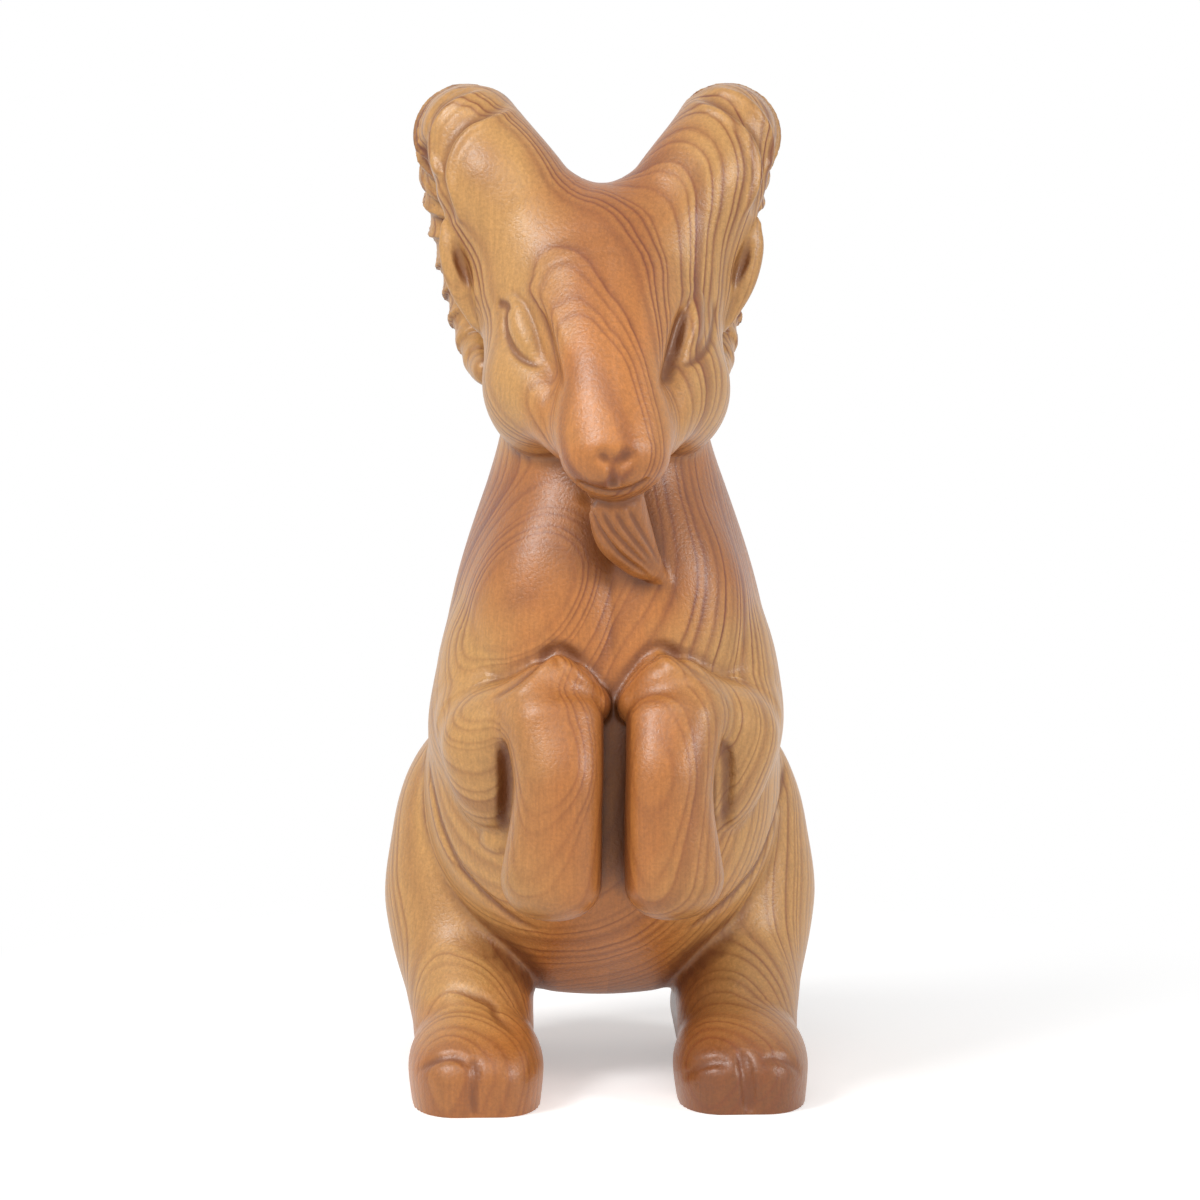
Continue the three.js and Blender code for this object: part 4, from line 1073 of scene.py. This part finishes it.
class GoatWood(bpy.types.PropertyGroup):
    """Colours and gloss of the wood, and the colour of its painted shade."""

    honey: bpy.props.FloatVectorProperty(
        name="Honey", description="Colour of the heartwood",
        size=4, subtype="COLOR", default=(0.53, 0.195, 0.045, 1),
    )
    olive: bpy.props.FloatVectorProperty(
        name="Olive", description="Colour of the paler wood",
        size=4, subtype="COLOR", default=(0.58, 0.3, 0.095, 1),
    )
    ring: bpy.props.FloatVectorProperty(
        name="Ring line", description="Colour of the late wood",
        size=4, subtype="COLOR", default=(0.2, 0.048, 0.012, 1),
    )
    # The colour of painted shade in creases and hollows, which the darkest heartwood also takes on
    crease: bpy.props.FloatVectorProperty(
        name="Crease", description="Colour of the lacquer in creases",
        size=4, subtype="COLOR", default=(0.17, 0.05, 0.013, 1),
    )
    ring_spacing: bpy.props.FloatProperty(
        name="Ring spacing", description="From one growth ring to the next",
        default=1.05 * MM, unit="LENGTH",
    )
    lacquer: bpy.props.FloatProperty(
        name="Lacquer", description="How much clear lacquer lies on the wood",
        default=0.38, subtype="FACTOR",
    )
    lacquer_roughness: bpy.props.FloatProperty(
        name="Lacquer roughness", description="How matt the lacquer is", default=0.34, subtype="FACTOR"
    )


class GoatStudio(bpy.types.PropertyGroup):
    """Light and floor of the studio."""

    floor: bpy.props.FloatVectorProperty(
        name="Floor", description="Colour of the floor",
        size=4, subtype="COLOR", default=(0.9, 0.9, 0.9, 1),
    )
    fill: bpy.props.FloatProperty(
        name="Fill", description="Strength of the light from all round", default=0.285
    )
    front: bpy.props.FloatProperty(
        name="Front", description="Power of the broad softbox above the camera", default=1.35, unit="POWER"
    )
    key: bpy.props.FloatProperty(
        name="Key", description="Power of the softbox at the upper left", default=3.2, unit="POWER"
    )
    side: bpy.props.FloatProperty(
        name="Side", description="Power of the softbox at the right", default=2.15, unit="POWER"
    )


# Operators

class GOAT_OT_torso(bpy.types.Operator):
    """Carve the trunk and the neck"""

    bl_idname = "goat.torso"
    bl_label = "Torso"

    def execute(self, context):
        carve("torso", step=0.4)
        return {"FINISHED"}


class GOAT_OT_head(bpy.types.Operator):
    """Carve the head with its face"""

    bl_idname = "goat.head"
    bl_label = "Head"

    def execute(self, context):
        carve("head", step=0.22)
        return {"FINISHED"}


class GOAT_OT_horns(bpy.types.Operator):
    """Carve the two ribbed horns"""

    bl_idname = "goat.horns"
    bl_label = "Horns"

    def execute(self, context):
        carve_pair("horn", step=0.25)
        return {"FINISHED"}


class GOAT_OT_ears(bpy.types.Operator):
    """Carve the two leaf-shaped ears"""

    bl_idname = "goat.ears"
    bl_label = "Ears"

    def execute(self, context):
        carve_pair("ear", step=0.2, rings=0.4)
        return {"FINISHED"}


class GOAT_OT_beard(bpy.types.Operator):
    """Carve the beard with its strands"""

    bl_idname = "goat.beard"
    bl_label = "Beard"

    def execute(self, context):
        carve("beard", step=0.18, rings=0.25)
        return {"FINISHED"}


class GOAT_OT_shoulders(bpy.types.Operator):
    """Carve the two shoulders with their upper arms"""

    bl_idname = "goat.shoulders"
    bl_label = "Shoulders"

    def execute(self, context):
        carve_pair("shoulder", step=0.3)
        return {"FINISHED"}


class GOAT_OT_forearms(bpy.types.Operator):
    """Carve the two forearms, from elbow to knee"""

    bl_idname = "goat.forearms"
    bl_label = "Forearms"

    def execute(self, context):
        carve_pair("forearm", step=0.28)
        return {"FINISHED"}


class GOAT_OT_forefeet(bpy.types.Operator):
    """Carve the two folded forefeet, from knee to hoof"""

    bl_idname = "goat.forefeet"
    bl_label = "Forefeet"

    def execute(self, context):
        carve_pair("forefoot", step=0.28)
        return {"FINISHED"}


class GOAT_OT_haunches(bpy.types.Operator):
    """Carve the two haunches"""

    bl_idname = "goat.haunches"
    bl_label = "Haunches"

    def execute(self, context):
        carve_pair("haunch", step=0.36)
        return {"FINISHED"}


class GOAT_OT_hind_feet(bpy.types.Operator):
    """Carve the two hind feet with their cloven hooves"""

    bl_idname = "goat.hind_feet"
    bl_label = "Hind feet"

    def execute(self, context):
        carve_pair("hind_foot", step=0.28)
        return {"FINISHED"}


class GOAT_OT_tail(bpy.types.Operator):
    """Carve the short upright tail"""

    bl_idname = "goat.tail"
    bl_label = "Tail"

    def execute(self, context):
        carve("tail", step=0.25)
        return {"FINISHED"}


class GOAT_OT_studio(bpy.types.Operator):
    """Set up the floor, the light and the photograph's camera"""

    bl_idname = "goat.studio"
    bl_label = "Studio"

    def execute(self, context):
        studio = context.scene.goat_studio
        context.scene.view_settings.view_transform = "Standard"
        add_floor(studio.floor)
        add_world(studio.fill)
        for name, place, size in SOFTBOXES:
            add_softbox(name + "_softbox", place, size, getattr(studio, name))
        add_camera()
        return {"FINISHED"}


OPERATORS = (
    GOAT_OT_torso,
    GOAT_OT_head,
    GOAT_OT_horns,
    GOAT_OT_ears,
    GOAT_OT_beard,
    GOAT_OT_shoulders,
    GOAT_OT_forearms,
    GOAT_OT_forefeet,
    GOAT_OT_haunches,
    GOAT_OT_hind_feet,
    GOAT_OT_tail,
    GOAT_OT_studio,
)


class GOAT_PT_figurine(bpy.types.Panel):
    """Lists the pieces in the order in which they are carved"""

    bl_idname = "GOAT_PT_figurine"
    bl_label = "Goat Figurine"
    bl_space_type = "VIEW_3D"
    bl_region_type = "UI"
    bl_category = "Goat"

    def draw(self, context):
        for operator in OPERATORS:
            self.layout.operator(operator.bl_idname)
        for group in ("goat_carving", "goat_wood", "goat_studio"):
            settings = getattr(context.scene, group)
            for name in settings.__annotations__:
                self.layout.prop(settings, name)


CLASSES = (GoatCarving, GoatWood, GoatStudio, *OPERATORS, GOAT_PT_figurine)


def register():
    for cls in CLASSES:
        bpy.utils.register_class(cls)
    bpy.types.Scene.goat_carving = bpy.props.PointerProperty(type=GoatCarving)
    bpy.types.Scene.goat_wood = bpy.props.PointerProperty(type=GoatWood)
    bpy.types.Scene.goat_studio = bpy.props.PointerProperty(type=GoatStudio)


def unregister():
    del bpy.types.Scene.goat_studio
    del bpy.types.Scene.goat_wood
    del bpy.types.Scene.goat_carving
    for cls in reversed(CLASSES):
        bpy.utils.unregister_class(cls)


def main():
    register()
    for operator in OPERATORS:
        group, name = operator.bl_idname.split(".")
        getattr(getattr(bpy.ops, group), name)()


if __name__ == "__main__":
    main()
